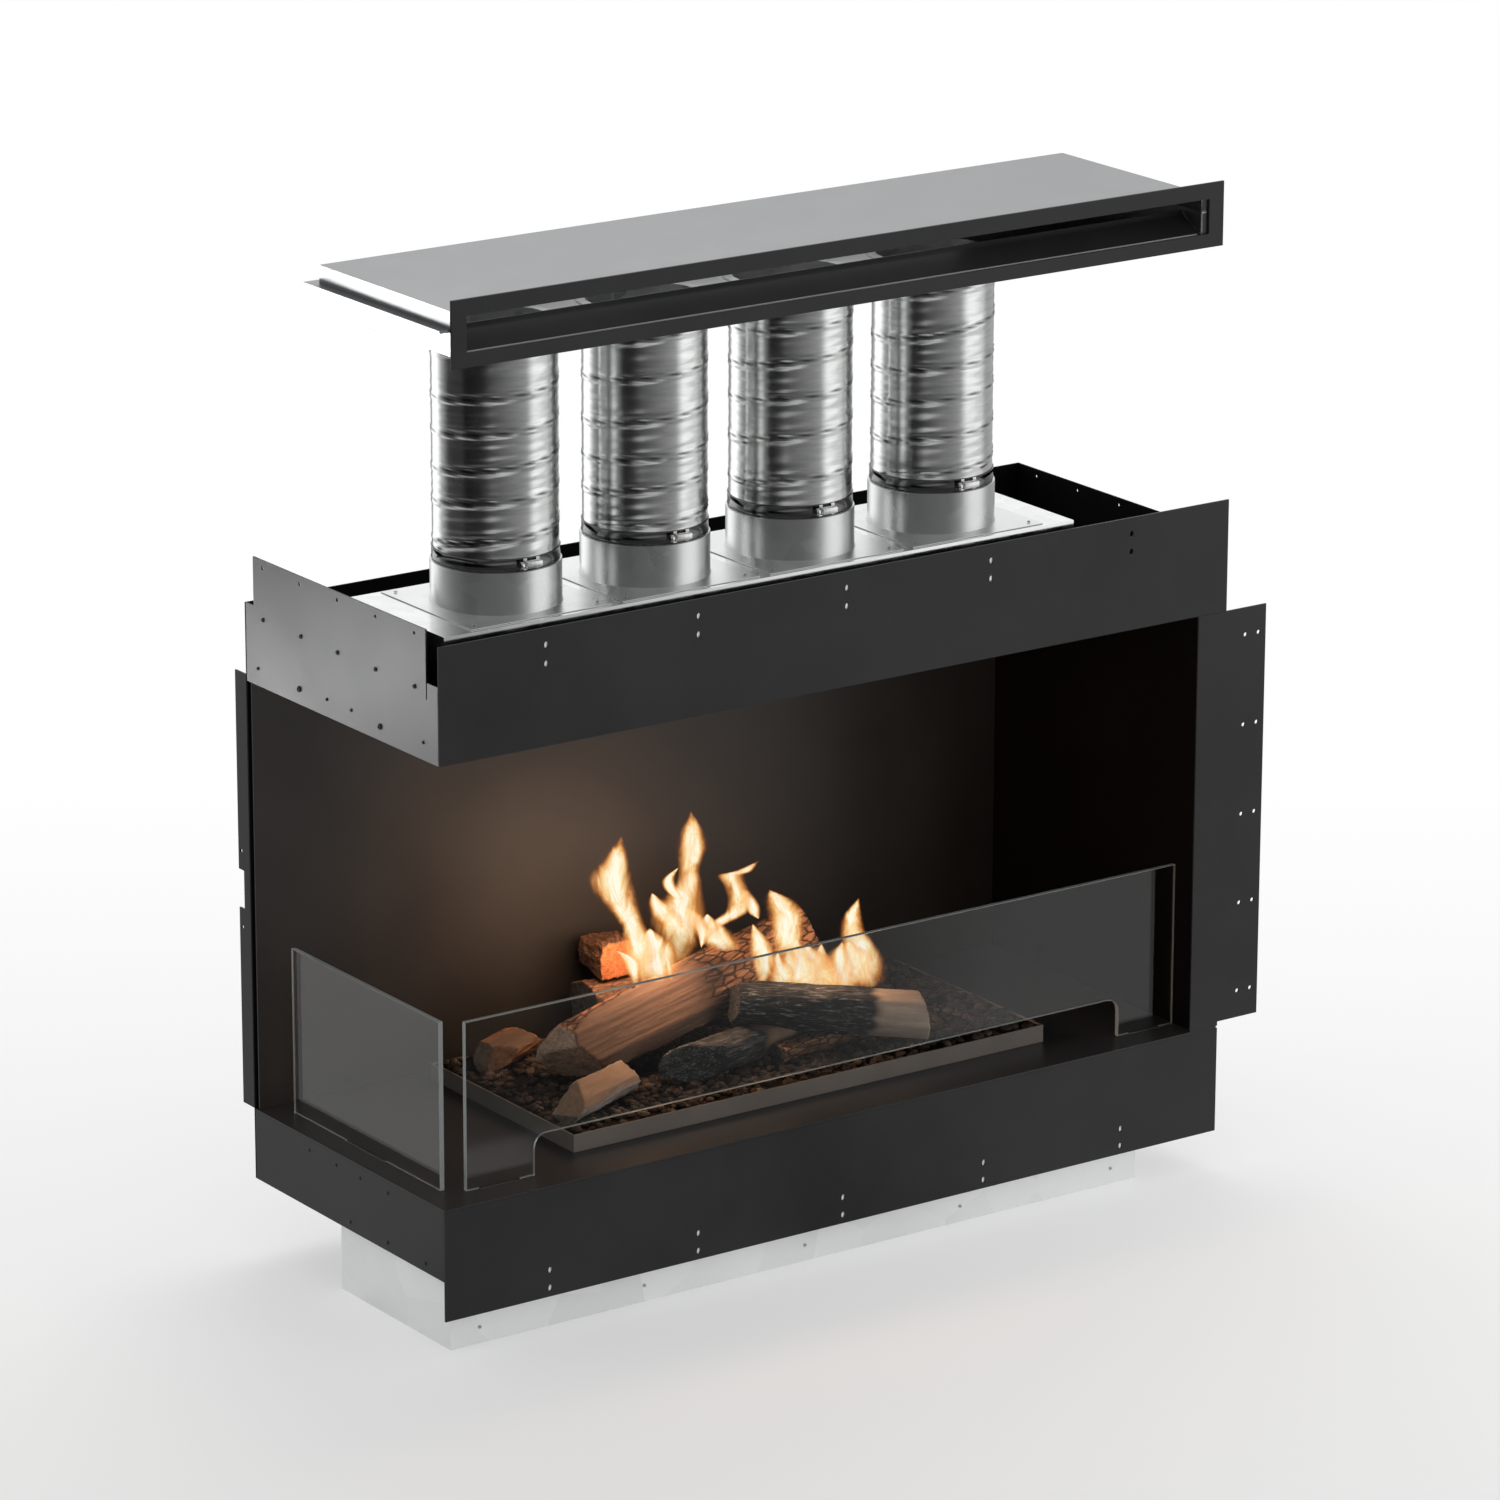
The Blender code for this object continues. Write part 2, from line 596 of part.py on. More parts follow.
def fascias():
    """The two fascias over the window, with their inward returns, and the ceiling that lies on those."""
    front = folded("front_fascia", [(RETURN_WIDTH, WINDOW_TOP), (0, WINDOW_TOP), (0, FASCIA_TOP)], "x", 0,
                   FRONT_WIDTH, STEEL)
    place(front, BLACK)
    above = WINDOW_TOP + RETURN_WIDTH
    carve(front, "left_end", (-OVERRUN, BEHIND_FRONT, WINDOW_TOP - OVERRUN),
          (BEHIND_FRONT, CASE_DEPTH, above))
    carve(front, "right_end", (CHAMBER_RIGHT - FIT, STEEL, WINDOW_TOP - OVERRUN),
          (FRONT_WIDTH + OVERRUN, CASE_DEPTH, above))
    pierce(front, "slots", slot_pairs(FASCIA_TOP - FASCIA_SLOT_DROP - SLOT_RISE), 0, STEEL, "front")

    left = folded("left_fascia", [(RETURN_WIDTH, WINDOW_TOP), (0, WINDOW_TOP), (0, LEFT_FASCIA_TOP)], "y",
                  BEHIND_FRONT, BACK_FACE - FIT, STEEL)
    place(left, BLACK)
    carve(left, "front_end", (STEEL, 0, WINDOW_TOP - OVERRUN), (FRONT_WIDTH, RETURN_WIDTH + FIT, above))
    carve(left, "rear_end", (STEEL, CHAMBER_BACK - FIT, WINDOW_TOP - OVERRUN),
          (FRONT_WIDTH, CASE_DEPTH, above))
    step_end = FASCIA_FRONT_STEP
    carve(left, "front_step", (-OVERRUN, 0, LEFT_FASCIA_TOP - FASCIA_FRONT_DROP),
          (STEEL + OVERRUN, step_end + FASCIA_SLIT_WIDTH / 2, LEFT_FASCIA_TOP + OVERRUN))
    carve(left, "front_slit", (-OVERRUN, step_end, LEFT_FASCIA_TOP - FASCIA_SLIT_DROP),
          (STEEL + OVERRUN, step_end + FASCIA_SLIT_WIDTH, LEFT_FASCIA_TOP + OVERRUN))
    carve(left, "rear_step", (-OVERRUN, CASE_DEPTH - FASCIA_REAR_STEP, LEFT_FASCIA_TOP - FASCIA_REAR_DROP),
          (STEEL + OVERRUN, CASE_DEPTH + OVERRUN, LEFT_FASCIA_TOP + OVERRUN))
    holes = [
        circle((FASCIA_HOLE_FIRST + FASCIA_HOLE_PITCH * number, LEFT_FASCIA_TOP - drop), SMALL_HOLE / 2)
        for number in range(FASCIA_HOLE_COUNT) for drop in FASCIA_HOLE_DROPS
    ]
    pierce(left, "holes", holes, 0, STEEL, "side")

    vent = rectangle(PLENUM_LEFT + VENT_MARGIN, PLENUM_FRONT + VENT_MARGIN,
                     PLENUM_LEFT + PLENUM_LENGTH - VENT_MARGIN, PLENUM_FRONT + PLENUM_DEPTH - VENT_MARGIN)
    outline = rectangle(BEHIND_FRONT, BEHIND_FRONT, RIGHT_FACE - FIT, BACK_FACE - FIT)
    place(plate("ceiling_plate", [outline, vent], CEILING_UNDER, STEEL, "level"), LINER)


def flanges():
    """The fixing flanges with which the casing is screwed to the wall around it."""
    foot = FLOOR_HEIGHT + FIT
    head = WINDOW_TOP - FIT
    inner = FRONT_WIDTH - JAMB_WIDTH
    outer = FRONT_WIDTH + RIGHT_FLANGE_REACH
    outline = [(inner, foot), (FRONT_WIDTH, foot), (FRONT_WIDTH, foot + RIGHT_FLANGE_STEP),
               (outer, foot + RIGHT_FLANGE_STEP), (outer, head), (inner, head)]
    holes = [
        circle((outer - FLANGE_HOLE_INSET - FLANGE_HOLE_SPACING * column,
                FLOOR_HEIGHT + FLANGE_HOLE_FIRST + FLANGE_HOLE_PITCH * row), FLANGE_HOLE / 2)
        for row in range(FLANGE_HOLE_ROWS) for column in (0, 1)
    ]
    place(plate("right_flange_plate", [outline, *holes], 0, STEEL, "front"), BLACK)

    seat = CASE_DEPTH + FIT
    rear = CASE_DEPTH + REAR_FLANGE_REACH
    flange = folded("rear_flange", [(REAR_FLANGE_LEG, seat), (0, seat), (0, rear)], "z", foot,
                    WINDOW_TOP + REAR_FLANGE_RISE, STEEL)
    place(flange, BLACK)
    notch = FLOOR_HEIGHT + NOTCH_RISE
    carve(flange, "notch", (-OVERRUN, rear - NOTCH_DEPTH, notch),
          (STEEL + OVERRUN, rear + OVERRUN, notch + NOTCH_LENGTH))
    holes = [
        circle((rear - REAR_HOLE_INSET, height), FLANGE_HOLE / 2)
        for height in (notch - REAR_HOLE_CLEARANCE, notch + NOTCH_LENGTH + REAR_HOLE_CLEARANCE)
    ]
    pierce(flange, "holes", holes, 0, STEEL, "side")


def burner_opening():
    """The cut-out in floor and log tray through which the tank hangs: left, front, right, back."""
    reach = TANK_LENGTH / 2 + TANK_CLEARANCE
    half = TANK_WIDTH / 2 + TANK_CLEARANCE
    return (BURNER_CENTRE - reach, BURNER_CENTRE_DEPTH - half,
            BURNER_CENTRE + reach, BURNER_CENTRE_DEPTH + half)


def glass_tabs():
    """The stretches of the two panes' lower edges that stand in the floor: low and high along each."""
    right = FRONT_WIDTH - FRONT_GLASS_RIGHT_GAP
    front = [
        (FRONT_GLASS_LEFT + GLASS_TAB_INSET, FRONT_GLASS_LEFT + GLASS_FOOT_LEFT - GLASS_TAB_INSET),
        (right - GLASS_FOOT_RIGHT + GLASS_TAB_INSET, right - GLASS_TAB_INSET),
    ]
    side = [(SIDE_TAB_FRONT, SIDE_TAB_FRONT + SIDE_TAB_LENGTH)]
    return front, side


def glass_slots():
    """The slots in the floor that take the panes' tabs."""
    front, side = glass_tabs()
    cuts = [
        rectangle(low - FIT, GLASS_SETBACK - FIT, high + FIT, GLASS_SETBACK + GLASS + FIT)
        for low, high in front
    ]
    cuts += [
        rectangle(SIDE_GLASS_INSET - FIT, low - FIT, SIDE_GLASS_INSET + GLASS + FIT, high + FIT)
        for low, high in side
    ]
    return cuts


def corner_arc(middle, radius, first):
    """A quarter circle, from one direction to the next."""
    turns = [first - math.pi / 2 * number / ARC_STEPS for number in range(ARC_STEPS + 1)]
    return [(middle[0] + radius * math.cos(turn), middle[1] + radius * math.sin(turn)) for turn in turns]


def glass():
    """The two low panes, which stand in the floor by short tabs and lift out."""
    front, side = glass_tabs()
    foot = FLOOR_HEIGHT + FIT
    tip = FLOOR_UNDER + FIT
    top = FLOOR_HEIGHT + GLASS_HEIGHT
    left = FRONT_GLASS_LEFT
    right = FRONT_WIDTH - FRONT_GLASS_RIGHT_GAP
    cut_left = left + GLASS_FOOT_LEFT
    cut_right = right - GLASS_FOOT_RIGHT
    cut_top = FLOOR_HEIGHT + GLASS_CUT_RISE
    rounded = cut_top - GLASS_CUT_RADIUS
    (first_low, first_high), (second_low, second_high) = front
    outline = [
        (left, top), (left, foot),
        (first_low, foot), (first_low, tip), (first_high, tip), (first_high, foot),
        (cut_left, foot),
        *corner_arc((cut_left + GLASS_CUT_RADIUS, rounded), GLASS_CUT_RADIUS, math.pi),
        *corner_arc((cut_right - GLASS_CUT_RADIUS, rounded), GLASS_CUT_RADIUS, math.pi / 2),
        (cut_right, foot),
        (second_low, foot), (second_low, tip), (second_high, tip), (second_high, foot),
        (right, foot), (right, top),
    ]
    place(plate("front_glass", [outline], GLASS_SETBACK, GLASS, "front"), CLEAR)
    near = SIDE_GLASS_FRONT
    far = near + SIDE_GLASS_LENGTH
    ((low, high),) = side
    outline = [
        (near, top), (near, foot),
        (low, foot), (low, tip), (high, tip), (high, foot),
        (far, foot), (far, top),
    ]
    place(plate("side_glass", [outline], SIDE_GLASS_INSET, GLASS, "side"), CLEAR)


def burner():
    """The base under the floor, and in it the tank with its wool, slotted lid and shutter."""
    base = open_box("base_box", (BASE_LEFT, BASE_FRONT, 0),
                    (BASE_LEFT + BASE_LENGTH, BASE_BACK, FLOOR_UNDER - FIT), ("top",), ZINC)
    place(base, PALE_ZINC)

    half_length = TANK_LENGTH / 2
    half_width = TANK_WIDTH / 2
    low = (BURNER_CENTRE - half_length, BURNER_CENTRE_DEPTH - half_width, TANK_TOP - TANK_HEIGHT)
    high = (BURNER_CENTRE + half_length, BURNER_CENTRE_DEPTH + half_width, TANK_TOP - ZINC)
    lips = [(side, TANK_LIP, 1) for side in ("left", "right", "front", "back")]
    place(open_box("burner_tank", low, high, ("top",), ZINC, lips), STAINLESS)
    gap = ZINC + FIT
    wool = block("wool_block", (low[0] + gap, low[1] + gap, low[2] + gap),
                 (high[0] - gap, high[1] - gap, low[2] + gap + WOOL_HEIGHT))
    place(wool, WOOL)

    lid = block("burner_lid", (low[0] - TANK_LIP, low[1] - TANK_LIP, TANK_TOP + FIT),
                (high[0] + TANK_LIP, high[1] + TANK_LIP, BURNER_LID_TOP))
    place(lid, STAINLESS)
    pierce(lid, "windows", burner_windows(), TANK_TOP + FIT, BURNER_LID_TOP, "level")
    side = SHUTTER_WIDTH / 2 + FIT
    runners = (("front_runner", -side - RUNNER_WIDTH, -side), ("back_runner", side, side + RUNNER_WIDTH))
    for label, inner, outer in runners:
        runner = block(f"burner_lid_{label}",
                       (low[0], BURNER_CENTRE_DEPTH + inner, BURNER_LID_TOP - ZINC / 2),
                       (high[0] + TANK_LIP / 2, BURNER_CENTRE_DEPTH + outer, SHUTTER_UNDER + ZINC))
        combine(lid, cutter(runner), "UNION")

    left = BURNER_CENTRE - SHUTTER_REACH
    right = BURNER_CENTRE + SHUTTER_REACH
    shutter = block("burner_shutter", (left, BURNER_CENTRE_DEPTH - SHUTTER_WIDTH / 2, SHUTTER_UNDER),
                    (right, BURNER_CENTRE_DEPTH + SHUTTER_WIDTH / 2, SHUTTER_UNDER + ZINC))
    place(shutter, STAINLESS)
    pierce(shutter, "windows", burner_windows(), SHUTTER_UNDER, SHUTTER_UNDER + ZINC, "level")
    tab = block("burner_shutter_tab",
                (right - ZINC, BURNER_CENTRE_DEPTH - SHUTTER_TAB_WIDTH / 2, SHUTTER_UNDER + ZINC / 2),
                (right, BURNER_CENTRE_DEPTH + SHUTTER_TAB_WIDTH / 2, SHUTTER_UNDER + SHUTTER_TAB_RISE))
    combine(shutter, cutter(tab), "UNION")


def burner_windows():
    """The windows that the lid and the shutter share."""
    half_length = BURNER_WINDOW_LENGTH / 2
    half_width = BURNER_WINDOW_WIDTH / 2
    return [
        rectangle(middle - half_length, BURNER_CENTRE_DEPTH - half_width, middle + half_length,
                  BURNER_CENTRE_DEPTH + half_width)
        for middle in WINDOW_CENTRES
    ]


def log_tray():
    """The shallow tray, open over the burner."""
    right = TRAY_LEFT + TRAY_LENGTH
    back = TRAY_FRONT + TRAY_DEPTH
    tray = open_box("log_tray", (TRAY_LEFT, TRAY_FRONT, TRAY_BOTTOM),
                    (right, back, TRAY_BOTTOM + TRAY_HEIGHT), ("top",), ZINC)
    place(tray, BLACK)
    pierce(tray, "burner_opening", [rectangle(*burner_opening())], TRAY_BOTTOM, TRAY_BOTTOM + ZINC, "level")


def pebble_bed():
    """The layer of pebbles that fills the tray up to the burner's shutter, with an uneven top."""
    gap = ZINC + FIT
    low = Vector((TRAY_LEFT + gap, TRAY_FRONT + gap, BED_BOTTOM))
    high = Vector((TRAY_LEFT + TRAY_LENGTH - gap, TRAY_FRONT + TRAY_DEPTH - gap, BED_TOP - PEBBLE_RELIEF))
    bed = block("pebble_bed", low, high)
    shape = bmesh.new()
    shape.from_mesh(bed.data)
    size = high - low
    for normal, count in ((Vector((1, 0, 0)), PEBBLE_COLUMNS), (Vector((0, 1, 0)), PEBBLE_ROWS)):
        for number in range(1, count):
            spot = normal * size.dot(normal) * (number / count - 1 / 2)
            top = [face for face in shape.faces if face.normal.z > FACING_SHARE]
            strip = {edge for face in top for edge in face.edges}
            strip |= {vert for face in top for vert in face.verts}
            lines = [item for item in shape.verts[:] + shape.edges[:] if item in strip]
            bmesh.ops.bisect_plane(shape, geom=lines + top, plane_co=spot, plane_no=normal)
    rise = size.z / 2
    edge = size / 2
    (first_across, first_back), (second_across, second_back) = PEBBLE_WAVES
    for vert in shape.verts:
        inside = abs(vert.co.x) < edge.x - MERGE and abs(vert.co.y) < edge.y - MERGE
        if vert.co.z > rise - MERGE and inside:
            across = vert.co.x / edge.x
            back = vert.co.y / edge.y
            wave = math.sin(first_across * across + first_back * back)
            wave *= math.cos(second_across * across + second_back * back)
            vert.co.z += PEBBLE_RELIEF * wave
    bmesh.ops.triangulate(shape, faces=shape.faces, quad_method="FIXED")
    shape.to_mesh(bed.data)
    shape.free()
    place(bed, PEBBLES)
    half_length = TANK_LENGTH / 2 + TANK_LIP + FIT
    half_width = TANK_WIDTH / 2 + TANK_LIP + FIT
    carve(bed, "lid_pocket",
          (BURNER_CENTRE - half_length, BURNER_CENTRE_DEPTH - half_width, BED_BOTTOM - OVERRUN),
          (BURNER_CENTRE + half_length, BURNER_CENTRE_DEPTH + half_width, BURNER_LID_TOP + FIT))
    half_width = SHUTTER_WIDTH / 2 + FIT + RUNNER_WIDTH + FIT
    carve(bed, "shutter_trough",
          (BURNER_CENTRE - TANK_LENGTH / 2 - FIT, BURNER_CENTRE_DEPTH - half_width, SHUTTER_UNDER - FIT),
          (BURNER_CENTRE + SHUTTER_REACH + SHUTTER_TRAVEL + TROUGH_MARGIN, BURNER_CENTRE_DEPTH + half_width,
           BED_TOP + OVERRUN))
    return bed


def pile_spot(shares):
    """A place in the pile from its shares of the tray's length and depth and of the pile's height."""
    across, back, rise = shares
    corner = Vector((TRAY_LEFT, TRAY_FRONT, BED_TOP))
    return corner + Vector((TRAY_LENGTH * across, TRAY_DEPTH * back, PILE_HEIGHT * rise))


def log_body(name, thickness, start, end, splits):
    """A log between two points: round and swelling on its bark side, flat on its split sides."""
    line = end - start
    shape = bmesh.new()
    bmesh.ops.create_cone(shape, cap_ends=True, segments=LOG_SIDES, radius1=thickness[0] / 2,
                          radius2=thickness[1] / 2, depth=line.length)
    long_edges = [
        edge for edge in shape.edges if abs(edge.verts[0].co.z - edge.verts[1].co.z) > line.length / 2
    ]
    bmesh.ops.subdivide_edges(shape, edges=long_edges, cuts=LOG_RINGS)
    phase = line.length * len(name) / thickness[0]
    for vert in shape.verts:
        turn = math.atan2(vert.co.y, vert.co.x)
        along = vert.co.z / line.length
        radius = vert.co.xy.length
        swell = sum(
            share * math.sin(lobes * turn + twist * along + lobes * phase)
            for lobes, twist, share in LOG_SWELLS
        )
        reach = radius * (1 + LOG_SWELL_SHARE * swell)
        for direction, share in splits:
            facing = math.cos(turn - math.radians(direction))
            if facing > 0:
                reach = min(reach, radius * share / facing)
        vert.co.x = reach * math.cos(turn)
        vert.co.y = reach * math.sin(turn)
    bmesh.ops.triangulate(shape, faces=shape.faces, quad_method="FIXED")
    thing = made(name, shape, (start + end) / 2)
    thing.rotation_mode = "QUATERNION"
    thing.rotation_quaternion = line.to_track_quat("Z", "Y")
    return thing


def print_of(thing):
    """The hollow that a log presses into what lies against it, a fitting gap larger all round."""
    hollow = bpy.data.objects.new(f"{thing.name}_print", thing.data)
    hollow.location = thing.location
    hollow.rotation_mode = "QUATERNION"
    hollow.rotation_quaternion = thing.rotation_quaternion
    grow = hollow.modifiers.new("gap", "DISPLACE")
    grow.mid_level = 0
    grow.strength = LOG_SEAT_GAP
    return cutter(hollow)


def logs(bed):
    """The ceramic logs, each hollowed where it lies on another, and the bed pressed down under them."""
    split = {"log_large_split", "log_small_front", "log_left_split", "log_rear_sawn"}
    bodies = {}
    for name, (thickness, start, end, splits) in LOG_SHARES.items():
        ends = [LOG_THICKNESS * share for share in thickness]
        bodies[name] = log_body(name, ends, pile_spot(start), pile_spot(end), splits)
        place(bodies[name], SPLIT_WOOD if name in split else CHARRED)
    prints = {name: print_of(body) for name, body in bodies.items()}
    for name, seats in LOG_SEATS.items():
        for seat in seats:
            combine(bodies[name], prints[seat])
    for name in LOG_SHARES:
        if name != "log_rear_sawn":
            combine(bed, prints[name])


def plenum():
    """The flue box on the ceiling, with the square-flanged collars that carry the ducts."""
    box = open_box("plenum_box", (PLENUM_LEFT, PLENUM_FRONT, PLENUM_UNDER),
                   (PLENUM_LEFT + PLENUM_LENGTH, PLENUM_FRONT + PLENUM_DEPTH, PLENUM_TOP), ("under",), ZINC)
    place(box, GALVANISED)
    bores = [circle((centre, DUCT_SETBACK), COLLAR_BORE / 2, ROUND_STEPS) for centre in DUCT_CENTRES]
    pierce(box, "bores", bores, PLENUM_TOP - ZINC, PLENUM_TOP, "level")


def duct_line(number, centre):
    """One duct with its lower collar, its clamp and the upper collar that leads it into the hood."""
    middle = (centre, DUCT_SETBACK, 0)
    bore = COLLAR_BORE / 2
    neck_inner = NECK_OUTER - COLLAR_WALL
    taper = SHOULDER - (bore - neck_inner)
    collar = turned(f"duct_collar_{number}", [
        (NECK_OUTER, SHOULDER + NECK_LENGTH), (NECK_OUTER, SHOULDER), (COLLAR_OUTER, SHOULDER),
        (COLLAR_OUTER, COLLAR_UNDER), (bore, COLLAR_UNDER), (bore, taper - COLLAR_WALL),
        (neck_inner, SHOULDER - COLLAR_WALL), (neck_inner, SHOULDER + NECK_LENGTH),
    ], middle, ROUND_STEPS)
    place(collar, GALVANISED)
    half = COLLAR_PLATE / 2
    outline = rectangle(centre - half, DUCT_SETBACK - half, centre + half, DUCT_SETBACK + half)
    hole = circle((centre, DUCT_SETBACK), (bore + COLLAR_OUTER) / 2, ROUND_STEPS)
    flange = solid_from(plate(f"duct_collar_{number}_flange", [outline, hole], COLLAR_UNDER, ZINC, "level"))
    combine(collar, cutter(flange), "UNION")

    valley = DUCT_OUTER
    crest = DUCT_OUTER + RIB_HEIGHT
    rib_top = DUCT_TOP - DUCT_PLAIN_END
    rib_span = rib_top - (DUCT_BOTTOM + DUCT_PLAIN_END)
    pitch = rib_span / RIB_COUNT
    profile = [(valley, DUCT_TOP), (valley, rib_top)]
    for rib in range(RIB_COUNT):
        crown = rib_top - pitch * (rib + 1 / 2)
        profile += [(crest, crown), (valley, crown - pitch / 2)]
    profile += [(valley, DUCT_BOTTOM), (DUCT_BORE / 2, DUCT_BOTTOM), (DUCT_BORE / 2, DUCT_TOP)]
    place(turned(f"duct_{number}", profile, middle, ROUND_STEPS), ALUMINIUM)

    inner = DUCT_OUTER + FIT
    band = turned(f"clamp_band_{number}", [
        (BAND_OUTER, BAND_BOTTOM + BAND_WIDTH), (BAND_OUTER, BAND_BOTTOM), (inner, BAND_BOTTOM),
        (inner, BAND_BOTTOM + BAND_WIDTH),
    ], middle, ROUND_STEPS)
    place(band, CLAMP)
    front = DUCT_SETBACK - BAND_OUTER
    housing = block(f"clamp_housing_{number}",
                    (centre - HOUSING_LENGTH / 2, front - HOUSING_DEPTH, WORM_HEIGHT - HOUSING_HEIGHT / 2),
                    (centre + HOUSING_LENGTH / 2, front + BAND_THICKNESS / 2,
                     WORM_HEIGHT + HOUSING_HEIGHT / 2))
    combine(band, cutter(housing), "UNION")
    axis = Vector((centre, DUCT_SETBACK - WORM_SETBACK, WORM_HEIGHT))
    bore_rod = rod(f"clamp_bore_{number}", WORM_RADIUS + FIT, HOUSING_LENGTH + 2 * OVERRUN, axis, WORM_SIDES)
    combine(band, cutter(bore_rod))
    head_start = HOUSING_LENGTH / 2 + FIT
    screw = turned(f"clamp_screw_{number}", [
        (WORM_HEAD_RADIUS, head_start + WORM_HEAD_LENGTH), (WORM_HEAD_RADIUS, head_start),
        (WORM_RADIUS, head_start), (WORM_RADIUS, -HOUSING_LENGTH / 2), (0, -HOUSING_LENGTH / 2),
        (0, head_start + WORM_HEAD_LENGTH),
    ], axis, WORM_SIDES)
    screw.rotation_euler = (0, -math.pi / 2, 0)
    place(screw, SCREW)

    ring = NECK_OUTER - COLLAR_WALL
    lip = HOOD_FLOOR + FIT
    upper = turned(f"hood_collar_{number}", [
        (NECK_OUTER + HOOD_COLLAR_LIP, lip + ZINC), (NECK_OUTER + HOOD_COLLAR_LIP, lip), (NECK_OUTER, lip),
        (NECK_OUTER, HOOD_UNDER - HOOD_COLLAR_DEPTH), (ring, HOOD_UNDER - HOOD_COLLAR_DEPTH),
        (ring, lip + ZINC),
    ], middle, ROUND_STEPS)
    place(upper, GALVANISED)


def hood():
    """The flat outlet hood: a tray and a lid that meet at outward lips, and the slot frame in front."""
    front = FRAME_THICKNESS + FIT
    right = HOOD_LEFT + HOOD_LENGTH
    tray = open_box("hood_tray", (HOOD_LEFT, front, HOOD_UNDER), (right, HOOD_BACK, HOOD_SEAM - ZINC),
                    ("top", "front"), ZINC, [(side, HOOD_LIP, 1) for side in ("left", "right", "back")])
    place(tray, GALVANISED)
    bores = [circle((centre, DUCT_SETBACK), NECK_OUTER + FIT, ROUND_STEPS) for centre in DUCT_CENTRES]
    pierce(tray, "bores", bores, HOOD_UNDER, HOOD_FLOOR, "level")
    lid = open_box("hood_lid", (HOOD_LEFT, front, HOOD_SEAM + FIT + ZINC), (right, HOOD_BACK, HOOD_TOP),
                   ("under", "front"), ZINC, [(side, HOOD_LIP, -1) for side in ("left", "right", "back")])
    place(lid, GALVANISED)

    left = FRAME_LEFT
    end = left + FRAME_LENGTH
    top = FRAME_BOTTOM + FRAME_HEIGHT
    outline = rectangle(left, FRAME_BOTTOM, end, top)
    window = rectangle(left + FRAME_END, FRAME_BOTTOM + FRAME_LOWER_RAIL, end - FRAME_RIGHT_END,
                       top - FRAME_UPPER_RAIL)
    place(plate("hood_frame", [outline, window], 0, FRAME_THICKNESS, "front"), BLACK)


casing()
fascias()
flanges()
glass()
burner()
log_tray()
logs(pebble_bed())
plenum()
for count, spot in enumerate(DUCT_CENTRES, 1):
    duct_line(count, spot)
hood()
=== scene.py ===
"""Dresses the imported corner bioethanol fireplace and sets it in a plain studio.

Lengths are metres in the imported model's frame: X runs right along the front, Y from the front to the back and
Z up, with the origin on the floor under the middle of the outer box. Names that end in _mm, and the tables of
tongues and screws, are in millimetres.
"""

import math
import random

import bpy
import numpy as np
from mathutils import Matrix, Vector, noise


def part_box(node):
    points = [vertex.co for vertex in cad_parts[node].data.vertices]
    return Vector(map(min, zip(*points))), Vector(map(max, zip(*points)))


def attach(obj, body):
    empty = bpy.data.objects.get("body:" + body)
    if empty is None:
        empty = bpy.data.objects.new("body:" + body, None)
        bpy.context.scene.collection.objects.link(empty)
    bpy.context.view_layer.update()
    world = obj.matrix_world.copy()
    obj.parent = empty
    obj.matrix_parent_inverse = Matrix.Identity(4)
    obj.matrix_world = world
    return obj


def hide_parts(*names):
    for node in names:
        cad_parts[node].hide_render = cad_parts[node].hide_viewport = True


bl_info = {
    "name": "Corner fireplace finish",
    "version": (1, 0, 0),
    "blender": (4, 5, 0),
    "location": "View3D > Sidebar > Fireplace",
    "description": "Finishes, ducts, logs, pebbles, flames, glass and studio for a built-in corner fireplace",
    "category": "Object",
}

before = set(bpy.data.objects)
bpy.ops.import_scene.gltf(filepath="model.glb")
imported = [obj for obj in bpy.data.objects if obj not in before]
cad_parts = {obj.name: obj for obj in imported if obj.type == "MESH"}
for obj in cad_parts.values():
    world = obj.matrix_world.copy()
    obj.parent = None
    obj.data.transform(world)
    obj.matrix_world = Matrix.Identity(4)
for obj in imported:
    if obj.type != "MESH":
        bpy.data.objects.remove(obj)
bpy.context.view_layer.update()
CASING = "casing"
MM = 0.001
TURN = 2 * math.pi
DUCTS = (1, 2, 3, 4)
ROUND = 96  # sides of the ducts and collars
WELD = 0.01 * MM  # points closer than this are one
FLAT = math.radians(1)  # faces closer than this are one flat face
SMOOTH = math.radians(35)  # bends gentler than this are shaded smooth

# The casing's front left corner, from which places on the sheets are measured
CORNER = Vector((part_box("front_fascia")[0].x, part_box("front_fascia")[0].y, 0))

# The camera that took the photograph, and its level directions to the right and away
CAMERA_PLACE = (-4.3586, -6.2027, 2.8643)
CAMERA_AZIMUTH = math.radians(35.013)
CAMERA_FALL = math.radians(17.041)
CAMERA_ROLL = math.radians(0.128)
CAMERA_LENS = 169.04
CAMERA_SENSOR = 36
CAMERA_SIGHT = 200
CAMERA_RIGHT = np.array((math.cos(CAMERA_AZIMUTH), -math.sin(CAMERA_AZIMUTH)))
CAMERA_AWAY = np.array((math.sin(CAMERA_AZIMUTH), math.cos(CAMERA_AZIMUTH)))


